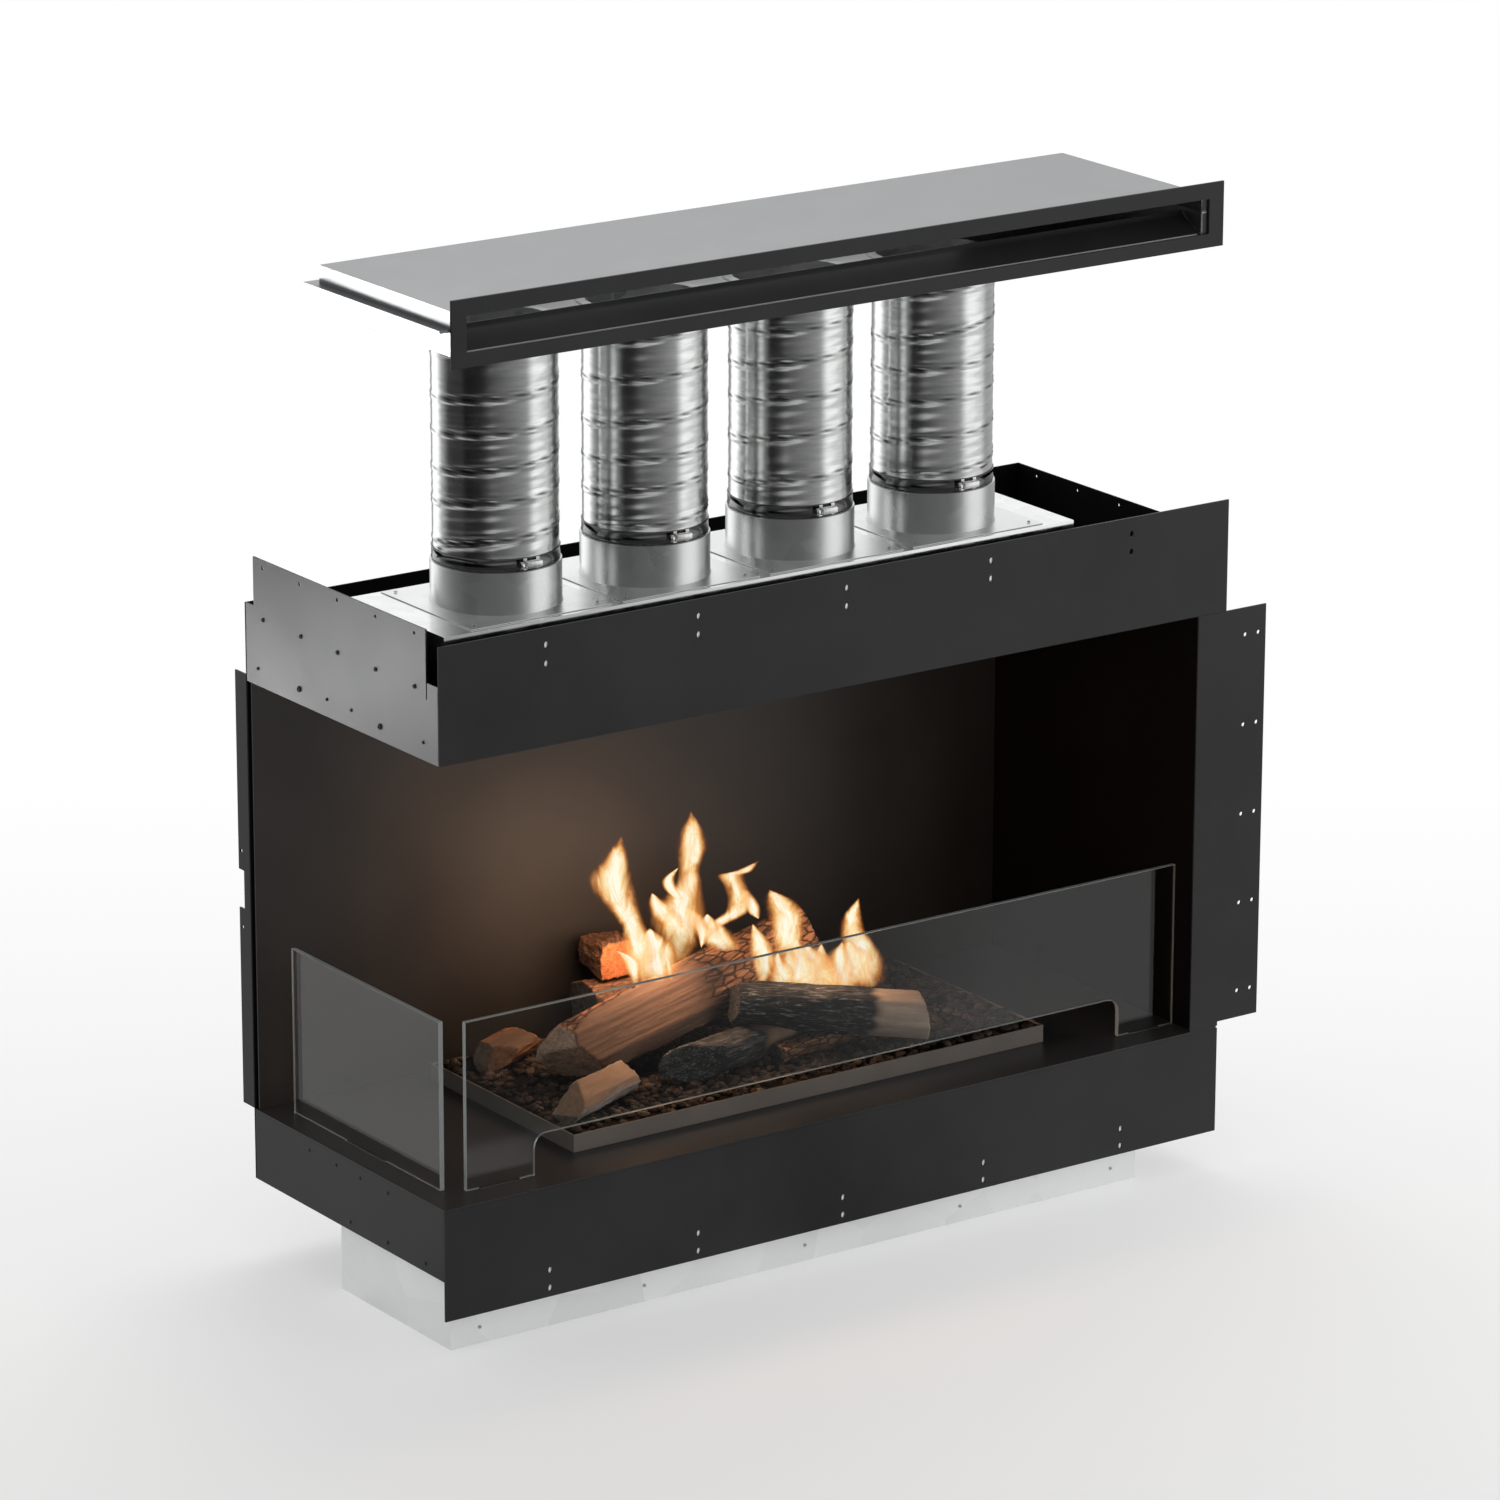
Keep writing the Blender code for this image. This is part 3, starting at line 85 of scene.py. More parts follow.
class FireplaceFinish(bpy.types.PropertyGroup):
    """Sizes and colours that a user would change."""

    coat: bpy.props.FloatVectorProperty(
        name="Casing coat", description="Powder coat of the black sheets", subtype="COLOR", size=3,
        default=(0.020, 0.020, 0.021), min=0, max=1)
    liner: bpy.props.FloatVectorProperty(
        name="Chamber coat", description="Heat-resistant coat inside the fire chamber", subtype="COLOR", size=3,
        default=(0.020, 0.018, 0.017), min=0, max=1)
    seam_pitch: bpy.props.FloatProperty(
        name="Duct seam pitch", description="Distance between turns of the ducts' lock seam", unit="LENGTH",
        default=0.041, min=0.01)
    seam_height: bpy.props.FloatProperty(
        name="Duct seam height", description="How far the lock seam stands out", unit="LENGTH",
        default=0.0009, min=0)
    pleat_depth: bpy.props.FloatProperty(
        name="Duct pleat depth", description="Depth of the fine pleats between the seams", unit="LENGTH",
        default=0.0002, min=0)
    pebble_size: bpy.props.FloatProperty(
        name="Pebble size", description="Length of a middling pebble", unit="LENGTH", default=0.0115, min=0.004)
    pebble_count: bpy.props.IntProperty(
        name="Pebbles", description="Number of loose pebbles on the bed", default=2400, min=100, max=2400)
    flame_strength: bpy.props.FloatProperty(
        name="Flame strength", description="Brightness of the flames' cores", default=1.1, min=0)
    studio_light: bpy.props.FloatProperty(
        name="Studio light", description="Strength of the even light around the object", default=0.62, min=0)


def settings():
    """The sizes and colours in use."""
    return bpy.context.scene.fireplace_finish


# Places and shapes


def spot(x_mm, y_mm=0, z_mm=0):
    """A place measured in millimetres from the casing's front left corner, at floor level."""
    return CORNER + Vector((x_mm, y_mm, z_mm)) * MM


def reach(node):
    """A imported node's lowest and highest corners and its middle."""
    low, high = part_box(node)
    return low, high, (low + high) / 2


def deselect():
    """Clear the selection."""
    if bpy.context.object and bpy.context.object.mode != "OBJECT":
        bpy.ops.object.mode_set(mode="OBJECT")
    bpy.ops.object.select_all(action="DESELECT")


def choose(thing):
    """Make one object the selected and active one."""
    deselect()
    thing.select_set(True)
    bpy.context.view_layer.objects.active = thing


class Editing:
    """Edit mode with all of a mesh picked, or only the edges or polygons (parts) that pass a test."""

    def __init__(self, thing, parts=None, test=None):
        choose(thing)
        bpy.ops.object.mode_set(mode="EDIT")
        bpy.ops.mesh.select_all(action="DESELECT" if parts else "SELECT")
        if parts:
            bpy.ops.object.mode_set(mode="OBJECT")
            for part in getattr(thing.data, parts):
                part.select = bool(test(part))
            bpy.ops.object.mode_set(mode="EDIT")
        if parts == "polygons":
            bpy.ops.mesh.select_mode(type="FACE")

    def __enter__(self):
        return self

    def __exit__(self, *failure):
        bpy.ops.object.mode_set(mode="OBJECT")


def named(name):
    """Name the active object and its mesh."""
    thing = bpy.context.object
    thing.name = name
    thing.data.name = name
    return thing


def put_in(name, data):
    """A new object in the scene."""
    thing = bpy.data.objects.new(name, data)
    bpy.context.scene.collection.objects.link(thing)
    return thing


def from_points(name, points, edges, faces):
    """A new object from points and the edges or faces between them."""
    mesh = bpy.data.meshes.new(name)
    mesh.from_pydata(points, edges, faces)
    return put_in(name, mesh)


def settle(thing):
    """Put an object's place, turn and size into its mesh."""
    choose(thing)
    bpy.ops.object.transform_apply(location=True, rotation=True, scale=True)
    return thing


def modified(thing, kind, **options):
    """Apply one modifier."""
    choose(thing)
    step = thing.modifiers.new(kind, kind)
    for key, value in options.items():
        setattr(step, key, value)
    bpy.ops.object.modifier_apply(modifier=step.name)
    return thing


def soften(thing, width, segments=2):
    """Round the sharp edges."""
    return modified(thing, "BEVEL", width=width, segments=segments, limit_method="ANGLE")


def combine(thing, tool, operation):
    """Cut a tool out of a piece or add it, and take the tool away."""
    modified(thing, "BOOLEAN", operation=operation, solver="EXACT", object=tool)
    bpy.data.objects.remove(tool)
    return thing


def bar(name, low, high):
    """A box between two corners, on which more is shaped."""
    deselect()
    bpy.ops.mesh.primitive_cube_add(size=1, location=(Vector(low) + Vector(high)) / 2)
    thing = named(name)
    thing.scale = Vector(high) - Vector(low)
    return settle(thing)


def round_bar(name, radius, length, middle, axis, sides=24):
    """A cylinder along an axis."""
    deselect()
    turn = Vector(axis).to_track_quat("Z", "Y").to_euler()
    bpy.ops.mesh.primitive_cylinder_add(vertices=sides, radius=radius, depth=length, location=middle, rotation=turn)
    return named(name)


def spun(name, profile, middle):
    """A closed profile of (radius, height) points in metres, turned about an upright axis."""
    count = len(profile)
    points = [(middle[0] + radius, middle[1], height) for radius, height in profile]
    thing = from_points(name, points, [(number, (number + 1) % count) for number in range(count)], [])
    with Editing(thing):
        bpy.ops.mesh.spin(steps=ROUND, angle=TURN, center=(middle[0], middle[1], 0), axis=(0, 0, 1))
        bpy.ops.mesh.select_all(action="SELECT")
        bpy.ops.mesh.remove_doubles(threshold=WELD)
        bpy.ops.mesh.normals_make_consistent(inside=False)
    return thing


def smooth(thing):
    """Shade the gentle bends smooth and keep the sharp edges."""
    choose(thing)
    bpy.ops.object.shade_smooth_by_angle(angle=SMOOTH)
    return thing


def smooth_all(thing):
    """Shade every face smooth."""
    choose(thing)
    bpy.ops.object.shade_smooth()
    return thing


def joined(things, name):
    """Several objects made into one."""
    deselect()
    for thing in things:
        thing.select_set(True)
    bpy.context.view_layer.objects.active = things[0]
    bpy.ops.object.join()
    return settle(named(name))


def from_node(node, name):
    """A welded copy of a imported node's mesh, as the start of a fuller piece."""
    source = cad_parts[node]
    thing = source.copy()
    thing.data = source.data.copy()
    thing.name = name
    bpy.context.scene.collection.objects.link(thing)
    thing.parent = None
    for key in [key for key in thing.keys() if key.startswith("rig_")]:
        del thing[key]
    thing.data.materials.clear()
    with Editing(thing):
        bpy.ops.mesh.remove_doubles(threshold=WELD)
    return thing


def eased(node, name, segments):
    """A copy of a node with whole flat faces and eased edges."""
    thing = from_node(node, name)
    with Editing(thing):
        bpy.ops.mesh.dissolve_limited(angle_limit=FLAT)
    return soften(thing, 0.5 * MM, segments)


def dress(thing, material, body=CASING):
    """Give a new piece its material and the body that it moves with."""
    if material is not None:
        thing.data.materials.clear()
        thing.data.materials.append(material)
    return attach(thing, body)


def coat_node(material, *nodes):
    """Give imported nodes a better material."""
    for name in nodes:
        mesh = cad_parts[name].data
        if not mesh.materials:
            mesh.materials.append(material)
        for number in range(len(mesh.materials)):
            mesh.materials[number] = material


def coordinates(thing, kind="co"):
    """The places or normals of a mesh's vertices as an array."""
    places = np.empty(len(thing.data.vertices) * 3)
    thing.data.vertices.foreach_get(kind, places)
    return places.reshape(-1, 3)


def put_coordinates(thing, places):
    """Write vertex places back."""
    thing.data.vertices.foreach_set("co", places.reshape(-1))
    thing.data.update()


def edge_run(places, edge, axis):
    """How far an edge runs along an axis."""
    first, second = edge.vertices
    return abs(places[first][axis] - places[second][axis])


def vertex_values(thing, name, values):
    """Store a value or a vector for every vertex."""
    kind, field = ("FLOAT", "value") if values.ndim == 1 else ("FLOAT_VECTOR", "vector")
    attribute = thing.data.attributes.new(name, kind, "POINT")
    attribute.data.foreach_set(field, np.asarray(values, float).reshape(-1))


# Shader building: each helper takes sockets or values and gives a socket


def new_material(name):
    """A material with its node tree and its surface shader."""
    material = bpy.data.materials.new(name)
    material.use_nodes = True
    tree = material.node_tree
    return material, tree, tree.nodes["Principled BSDF"]


def feed(node, sockets):
    """Join a node's inputs to other sockets or give them values."""
    for key, value in sockets.items():
        target = node.inputs[key]
        if isinstance(value, bpy.types.NodeSocket):
            node.id_data.links.new(value, target)
        else:
            target.default_value = (*value, 1) if target.type == "RGBA" else value
    return node


def add(tree, kind, sockets, **options):
    """Add a node with its options and what its inputs take, and give its outputs."""
    made = tree.nodes.new(kind)
    for key, value in options.items():
        setattr(made, key, value)
    return feed(made, sockets).outputs


def figure(operation, first, second=0.0, clamp=False):
    """One step of arithmetic."""
    tree = (first if isinstance(first, bpy.types.NodeSocket) else second).id_data
    return add(tree, "ShaderNodeMath", {0: first, 1: second}, operation=operation, use_clamp=clamp)[0]


def plus(first, second, clamp=False):
    """The sum."""
    return figure("ADD", first, second, clamp)


def minus(first, second, clamp=False):
    """The difference."""
    return figure("SUBTRACT", first, second, clamp)


def times(first, second, clamp=False):
    """The product."""
    return figure("MULTIPLY", first, second, clamp)


def most(first, second):
    """The larger of two."""
    return figure("MAXIMUM", first, second)


def ramp(factor, *stops):
    """A colour ramp; each stop is a place and a grey or a colour."""
    made = factor.id_data.nodes.new("ShaderNodeValToRGB")
    elements = made.color_ramp.elements
    while len(elements) < len(stops):
        elements.new(0.5)
    for element, (place, colour) in zip(elements, stops):
        element.position = place
        element.color = (*colour, 1) if isinstance(colour, tuple) else (colour, colour, colour, 1)
    return feed(made, {"Fac": factor}).outputs["Color"]


def mix(factor, first, second):
    """Mix two colours."""
    return add(factor.id_data, "ShaderNodeMix", {0: factor, 6: first, 7: second}, data_type="RGBA")[2]


def choice(factor, first, second):
    """Mix two numbers."""
    return add(factor.id_data, "ShaderNodeMix", {0: factor, 2: first, 3: second}, data_type="FLOAT")[0]


def spread(value, low, high, start=0.0, end=1.0):
    """Map a value from one range to another."""
    return add(value.id_data, "ShaderNodeMapRange", {
        "Value": value, "From Min": start, "From Max": end, "To Min": low, "To Max": high})["Result"]


def stretched(place, scale):
    """A place stretched along each axis."""
    return add(place.id_data, "ShaderNodeMapping", {"Vector": place, "Scale": scale})["Vector"]


def object_place(tree, stretch=(1, 1, 1)):
    """Object coordinates, stretched along each axis."""
    return stretched(add(tree, "ShaderNodeTexCoord", {})["Object"], stretch)


def stored(tree, name, kind="Fac"):
    """What is stored for the mesh's vertices."""
    return add(tree, "ShaderNodeAttribute", {}, attribute_name=name)[kind]


def cloud(place, scale, detail=3.0, roughness=0.55, distortion=0.0):
    """Soft noise."""
    return add(place.id_data, "ShaderNodeTexNoise", {
        "Vector": place, "Scale": scale, "Detail": detail, "Roughness": roughness, "Distortion": distortion})["Fac"]


def bump(height, strength, distance):
    """The normal of a surface raised by a height."""
    return add(height.id_data, "ShaderNodeBump", {
        "Height": height, "Strength": strength, "Distance": distance})["Normal"]


def surface_of(tree, factor, first, second):
    """Show one shader or the other on the surface."""
    both = add(tree, "ShaderNodeMixShader", {0: factor, 1: first, 2: second})
    feed(tree.nodes["Material Output"], {"Surface": both[0]})


def ray_kinds(tree):
    """Rays from the camera, straight or through the glass, and rays that a shiny surface has turned."""
    path = add(tree, "ShaderNodeLightPath", {})
    passed, bounced = path["Is Transmission Ray"], path["Glossy Depth"]
    through = minus(passed, plus(path["Diffuse Depth"], bounced), True)
    clear = most(path["Is Camera Ray"], through)
    shiny = most(path["Is Glossy Ray"], times(passed, bounced, True))
    return clear, minus(shiny, clear, True)


def shared_group(name, values, outputs, build):
    """A node group on a place and further values, built once; build gives what its outputs put out."""
    if name in bpy.data.node_groups:
        return bpy.data.node_groups[name]
    group = bpy.data.node_groups.new(name, "ShaderNodeTree")
    group.interface.new_socket("Place", in_out="INPUT", socket_type="NodeSocketVector")
    for key, value in values.items():
        socket = group.interface.new_socket(key, in_out="INPUT", socket_type="NodeSocketFloat")
        socket.default_value = value
    for key in outputs:
        group.interface.new_socket(key, in_out="OUTPUT", socket_type="NodeSocketFloat")
    made = build(add(group, "NodeGroupInput", {}))
    feed(group.nodes.new("NodeGroupOutput"), dict(zip(outputs, made)))
    return group


def use_group(group, place, values=None):
    """A shared group at a place in a material."""
    return add(place.id_data, "ShaderNodeGroup", {"Place": place, **(values or {})}, node_tree=group)


def sheet_tone(place, slow, fine):
    """Slow tone changes and fine grain of a coated or rolled sheet."""
    def build(start):
        return (cloud(start["Place"], start["Slow Scale"], 4.0, 0.6),
                cloud(start["Place"], start["Fine Scale"], 2.0, 0.5))

    group = shared_group("sheet tone", {"Slow Scale": 6.0, "Fine Scale": 900.0}, ("Tone", "Grain"), build)
    return use_group(group, place, {"Slow Scale": slow, "Fine Scale": fine})


def zinc_crystals(place, scale):
    """The crystal pattern of hot-dip galvanised sheet."""
    def build(start):
        cells = add(start["Place"].id_data, "ShaderNodeTexVoronoi",
                    {"Vector": start["Place"], "Scale": start["Scale"]}, feature="F1")
        return [add(start["Place"].id_data, "ShaderNodeRGBToBW", {"Color": cells["Color"]})["Val"]]

    return use_group(shared_group("zinc crystals", {"Scale": 90.0}, ("Crystal",), build), place, {"Scale": scale})


def wood_fibres(place, scale):
    """Long fibres and short cracks that follow a log; the place runs along it and across it."""
    def build(start):
        return (cloud(stretched(start["Place"], (1.0, 9.0, 9.0)), start["Scale"], 6.0, 0.68, 0.4),
                cloud(start["Place"], start["Scale"], 4.0, 0.6))

    group = shared_group("wood fibres", {"Scale": 14.0}, ("Fibres", "Patches"), build)
    return use_group(group, place, {"Scale": scale})


# Materials


def dimmed(colour, share):
    """A colour made darker or lighter."""
    return tuple(part * share for part in colour)


def powder_coat(name, colour, low_shine, high_shine, level=0.5):
    """Fine-textured powder coat."""
    material, tree, shader = new_material(name)
    parts = sheet_tone(object_place(tree), 5.0, 1100.0)
    feed(shader, {
        "Base Color": ramp(parts["Tone"], (0.32, dimmed(colour, 0.82)), (0.68, dimmed(colour, 1.2))),
        "Roughness": spread(parts["Tone"], low_shine, high_shine, 0.3, 0.7),
        "Specular IOR Level": level,
        "Normal": bump(parts["Grain"], 0.18, 0.15 * MM)})
    return material


def galvanised(name, tone, low_shine, high_shine, crystals=70.0, metallic=1.0):
    """Galvanised sheet with faint crystals."""
    material, tree, shader = new_material(name)
    place = object_place(tree)
    crystal = zinc_crystals(place, crystals)["Crystal"]
    parts = sheet_tone(place, 9.0, 500.0)
    worn = plus(times(crystal, 0.5), times(parts["Tone"], 0.5))
    feed(shader, {
        "Base Color": ramp(worn, (0.3, dimmed(tone, 0.9)), (0.7, tone)),
        "Roughness": spread(worn, low_shine, high_shine, 0.3, 0.7),
        "Metallic": metallic,
        "Normal": bump(parts["Grain"], 0.08, 0.1 * MM)})
    return material


def duct_foil():
    """Shiny aluminium strip with small dents, and painted shade as dark lines in its folded seam."""
    material, tree, shader = new_material("duct_foil")
    dents = cloud(object_place(tree), 30.0, 2.0, 0.5)
    streaks = cloud(object_place(tree, (1, 1, 7)), 26.0, 4.0, 0.6)
    foil = ramp(streaks, (0.3, (0.66, 0.68, 0.67)), (0.7, (0.86, 0.87, 0.86)))
    feed(shader, {
        # Painted shade: the foil turns near black along the seam's groove
        "Base Color": mix(times(stored(tree, "seam"), 0.95, True), foil, (0.03, 0.03, 0.03)),
        "Roughness": spread(dents, 0.18, 0.23, 0.3, 0.7),
        "Metallic": 1.0,
        "Normal": bump(dents, 0.07, 0.6 * MM)})
    return material


def brushed_steel(name, tone, stretch, roughness):
    """Brushed stainless or zinc-plated steel."""
    material, tree, shader = new_material(name)
    lines = cloud(object_place(tree, stretch), 40.0, 5.0, 0.7)
    feed(shader, {
        "Base Color": ramp(lines, (0.3, dimmed(tone, 0.75)), (0.7, tone)),
        "Roughness": spread(lines, roughness - 0.07, roughness + 0.08, 0.3, 0.7),
        "Metallic": 1.0,
        "Normal": bump(lines, 0.1, 0.1 * MM)})
    return material


def wool_fibre():
    """Ceramic wool."""
    material, tree, shader = new_material("ceramic_wool_fibre")
    hairs = cloud(object_place(tree, (1, 1, 4)), 260.0, 5.0, 0.7, 1.5)
    feed(shader, {
        "Base Color": ramp(hairs, (0.3, (0.60, 0.58, 0.53)), (0.7, (0.86, 0.84, 0.79))),
        "Roughness": 1.0,
        "Normal": bump(hairs, 0.8, 1.5 * MM)})
    return material


def pebble_stone():
    """Small dark brown stones, each with its own tone."""
    material, tree, shader = new_material("pebble_stone")
    speckle = cloud(object_place(tree), 420.0, 4.0, 0.7)
    own = ramp(stored(tree, "tone"), (0.0, (0.008, 0.005, 0.003)), (0.45, (0.023, 0.012, 0.007)),
               (0.8, (0.048, 0.026, 0.014)), (1.0, (0.100, 0.070, 0.050)))
    feed(shader, {
        "Base Color": mix(spread(speckle, 0.0, 0.55, 0.35, 0.75), own, (0.02, 0.015, 0.012)),
        "Roughness": spread(speckle, 0.45, 0.8),
        "Normal": bump(speckle, 0.5, 0.5 * MM)})
    return material


def log_surface(name, split_tones, bark_tones, end_tones, char=0.0, cracks=0.0):
    """A cast ceramic log: split face, bark and sawn ends, by the stored shares of each."""
    material, tree, shader = new_material(name)
    place = stored(tree, "grain", "Vector")
    split, end, scorch = (stored(tree, key) for key in ("split", "end", "scorch"))
    parts = wood_fibres(place, 16.0)
    fine = wood_fibres(place, 55.0)
    streak = plus(times(parts["Fibres"], 0.55), times(fine["Fibres"], 0.45))
    split_colour = ramp(streak, *zip((0.30, 0.50, 0.70), split_tones))
    bark_colour = ramp(streak, *zip((0.38, 0.50, 0.62), bark_tones))
    end_colour = ramp(cloud(place, 170.0, 5.0, 0.7, 0.6), *zip((0.36, 0.62), end_tones))
    on_bark = minus(1.0, split, True)
    cells = add(tree, "ShaderNodeTexVoronoi", {
        "Vector": stretched(place, (52.0, 150.0, 150.0)), "Scale": 1.0, "Randomness": 0.75},
        feature="DISTANCE_TO_EDGE")
    gaps = times(spread(cells["Distance"], 1.0, 0.0, 0.02, 0.16), times(on_bark, cracks), True)
    whole = mix(split, mix(gaps, bark_colour, (0.008, 0.006, 0.005)), split_colour)
    whole = mix(end, whole, end_colour)
    soot = spread(parts["Patches"], 0.0, 1.0, 0.66 - char, 0.82 - char * 0.5)
    soot = most(times(soot, spread(split, 1.0, 0.35)), scorch)
    whole = mix(times(soot, 0.85, True), whole, (0.012, 0.011, 0.011))
    ash = times(spread(fine["Fibres"], 0.0, 1.0, 0.56, 0.68), char * 1.6, True)
    whole = mix(times(ash, on_bark), whole, (0.30, 0.29, 0.285))
    feed(shader, {
        "Base Color": whole,
        "Roughness": spread(streak, 0.75, 0.95),
        "Specular IOR Level": 0.3,
        "Normal": bump(minus(streak, times(gaps, 0.9)), 0.45, 1.2 * MM)})
    return material


def flame_glow():
    """Burning gas: see-through at the rim, near white at the core, amber between."""
    material, tree, shader = new_material("flame_glow")
    core, foot = stored(tree, "core"), stored(tree, "foot")
    wisps = cloud(object_place(tree, (1, 1, 0.4)), 60.0, 4.0, 0.62, 1.0)
    heat = plus(core, times(minus(wisps, 0.5), 1.7))
    heat = minus(heat, times(foot, 0.35))
    rim = spread(core, 0.0, 1.0, 0.0, 0.62)
    seen = times(spread(heat, 0.08, 0.80, 0.1, 0.95), rim, True)
    feed(shader, {
        "Base Color": (0, 0, 0),
        "Specular IOR Level": 0.0,
        "Roughness": 1.0,
        "Emission Color": ramp(heat, (0.05, (0.55, 0.13, 0.03)), (0.45, (0.95, 0.36, 0.08)),
                               (0.75, (1.0, 0.70, 0.32)), (1.0, (1.0, 0.93, 0.74))),
        "Emission Strength": settings().flame_strength,
        "Alpha": times(seen, spread(foot, 1.0, 0.25))})
    material.surface_render_method = "BLENDED"
    return material


def guard_glass(name, tint, roughness, clearness):
    """Toughened glass that lets the lamps through."""
    material, tree, shader = new_material(name)
    haze = cloud(object_place(tree), 3.0, 2.0, 0.5)
    feed(shader, {
        "Transmission Weight": clearness,
        "IOR": 1.4,
        "Roughness": roughness,
        "Base Color": ramp(haze, (0.35, dimmed(tint, 0.97)), (0.65, tint))})
    clear = add(tree, "ShaderNodeBsdfTransparent", {"Color": (0.86, 0.88, 0.87)})
    shadow = add(tree, "ShaderNodeLightPath", {})["Is Shadow Ray"]
    surface_of(tree, shadow, shader.outputs[0], clear[0])
    return material


# Sheet metal


def baffle():
    """The sloping black plate behind the hood's slot, the plate at its end, and a pale lower lip whose grey paints
    the highlight along the slot's lower edge.
    """
    black = powder_coat("baffle_coat", (0.017, 0.017, 0.017), 0.35, 0.45, 0.4)
    low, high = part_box("hood_frame")
    floor = low.z + 15.6 * MM
    raised = Vector((0, 0, floor))
    back = high.y + 0.3 * MM
    plate = bar("hood_baffle", spot(24, 5.0) + raised, spot(1012, 6.2, 1) + raised)
    with Editing(plate, "polygons", lambda face: face.normal.z > 0.9):
        for step in ((0, 27 * MM, 15 * MM), (0, 3 * MM, 3 * MM), (0, 1.5 * MM, 3 * MM)):
            bpy.ops.mesh.extrude_region_move(TRANSFORM_OT_translate={"value": step})
    end = bar("slot_end", (spot(1013).x, back, low.z + 6 * MM),
              (high.x - 6 * MM, high.y + 1.3 * MM, high.z - 6 * MM))
    dress(joined([smooth(plate), end], "hood_baffle"), black)
    # Painted highlight: a pale strip stands in for the bright line that the slot's lower edge reflects
    lip = bar("slot_lip", (spot(24).x, back, floor - 2 * MM), (spot(1008).x, high.y + 2.3 * MM, floor + 1.4 * MM))
    zinc = galvanised("lip_zinc", (0.30, 0.305, 0.30), 0.4, 0.5, metallic=0.0)
    dress(soften(lip, 0.4 * MM), zinc)


def slot_brackets():
    """Pale strips behind the pairs of slots in the front sheets, painted light that stands in for the lit surfaces
    seen through the slots.
    """
    zinc = galvanised("bracket_zinc", (0.95, 0.95, 0.94), 0.5, 0.6, metallic=0.0)
    first_mm, pitch_mm, half, thickness, height = 135.7, 196.4, 7 * MM, 1 * MM, 34 * MM
    strips = []
    for sheet, count in (("front_fascia", 4), ("front_apron", 5)):
        low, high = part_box(sheet)
        start = high.z - 44 * MM if sheet == "front_fascia" else low.z + 6 * MM
        back = low.y + 2.25 * MM
        for number in range(count):
            x = spot(first_mm + pitch_mm * number).x
            strip = bar("strip", (x - half, back, start), (x + half, back + thickness, start + height))
            strips.append(soften(strip, 0.4 * MM))
    dress(joined(strips, "slot_brackets"), zinc)


class FIREPLACE_OT_sheets(bpy.types.Operator):
    """Finish the casing, the plenum, the hood and the base"""

    bl_idname = "fireplace.sheets"
    bl_label = "Sheet metal"

    def execute(self, context):
        own = settings()
        coat = powder_coat("black_powder_coat", tuple(own.coat), 0.36, 0.44, 0.25)
        coat_node(coat, "front_apron", "left_apron", "front_fascia", "left_fascia", "right_flange_plate",
                  "rear_flange", "hood_frame")
        for material, *nodes in (
            (powder_coat("floor_coat", tuple(own.coat), 0.30, 0.38, 0.36), "floor_plate"),
            (powder_coat("matt_black_coat", (0.004, 0.004, 0.004), 0.55, 0.65, 0.1),
             "outer_back", "outer_right", "ceiling_plate"),
            # Painted sheen: the black glossy tray gets a lighter warm grey, on top of its real gloss, for its
            # reflections
            (powder_coat("tray_coat", (0.125, 0.108, 0.095), 0.12, 0.2, 0.8), "log_tray"),
            (powder_coat("chamber_coat", tuple(own.liner), 0.34, 0.44), "inner_back"),
            # Painted shade: the chamber's right end wall gets a near-black copy of the chamber coat
            (powder_coat("chamber_end_coat", (0.003, 0.0025, 0.0025), 0.45, 0.55, 0.15), "inner_right"),
            (galvanised("plenum_zinc", (0.86, 0.87, 0.87), 0.12, 0.20), "plenum_box"),
            (galvanised("hood_zinc", (0.26, 0.265, 0.27), 0.36, 0.40, 30.0), "hood_lid"),
            (galvanised("hood_tray_zinc", (0.60, 0.605, 0.61), 0.36, 0.40, 30.0), "hood_tray"),
            (galvanised("base_zinc", (0.90, 0.91, 0.91), 0.45, 0.55, 12.0, metallic=0.15), "base_box"),
            (brushed_steel("burner_steel", (0.50, 0.49, 0.47), (1, 24, 24), 0.32),
             "burner_tank", "burner_lid", "burner_shutter"),
            (wool_fibre(), "wool_block"),
        ):
            coat_node(material, *nodes)
        bezel = eased("hood_frame", "eased_hood_frame", 2)
        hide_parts("hood_frame")
        dress(bezel, coat)
        baffle()
        # Pale strips behind the slots: painted light seen through them
        slot_brackets()
        return {"FINISHED"}


# Ducts, collars and clamps


# The ducts' strip lies this far inside the seams; its thickness, the rings along it, and the plain ends
STRIP_INSET, STRIP, STRIP_CUTS = 1.45 * MM, 0.5 * MM, 320
PLAIN_END, PLAIN_FADE = 14.5 * MM, 5 * MM
# The seam's ridge, measured from its groove, the groove, the width of the painted shade line in it, and how far the
# duct strays from straight
RIDGE_PLACE, RIDGE_WIDTH, GROOVE_WIDTH, SEAM_SHADE_WIDTH, SWAY = 2.6 * MM, 2.2 * MM, 0.9 * MM, 0.95 * MM, 0.5 * MM


def wound_duct(number):
    """A thin tube along a duct's axis, pressed into seams and pleats."""
    low, high, middle = reach(f"duct_{number}")
    height = high.z - low.z
    radius = (high.x - low.x) / 2 - STRIP_INSET
    deselect()
    bpy.ops.mesh.primitive_cylinder_add(vertices=ROUND, radius=radius, depth=height, end_fill_type="NOTHING",
                                        location=middle)
    duct = named(f"spiral_duct_{number}")
    places = coordinates(duct)
    with Editing(duct, "edges", lambda edge: edge_run(places, edge, 2) > height / 2):
        bpy.ops.mesh.subdivide(number_cuts=STRIP_CUTS)
    wind(duct, random.Random(40 + number), height, radius)
    modified(settle(duct), "SOLIDIFY", thickness=STRIP)
    return smooth_all(duct)


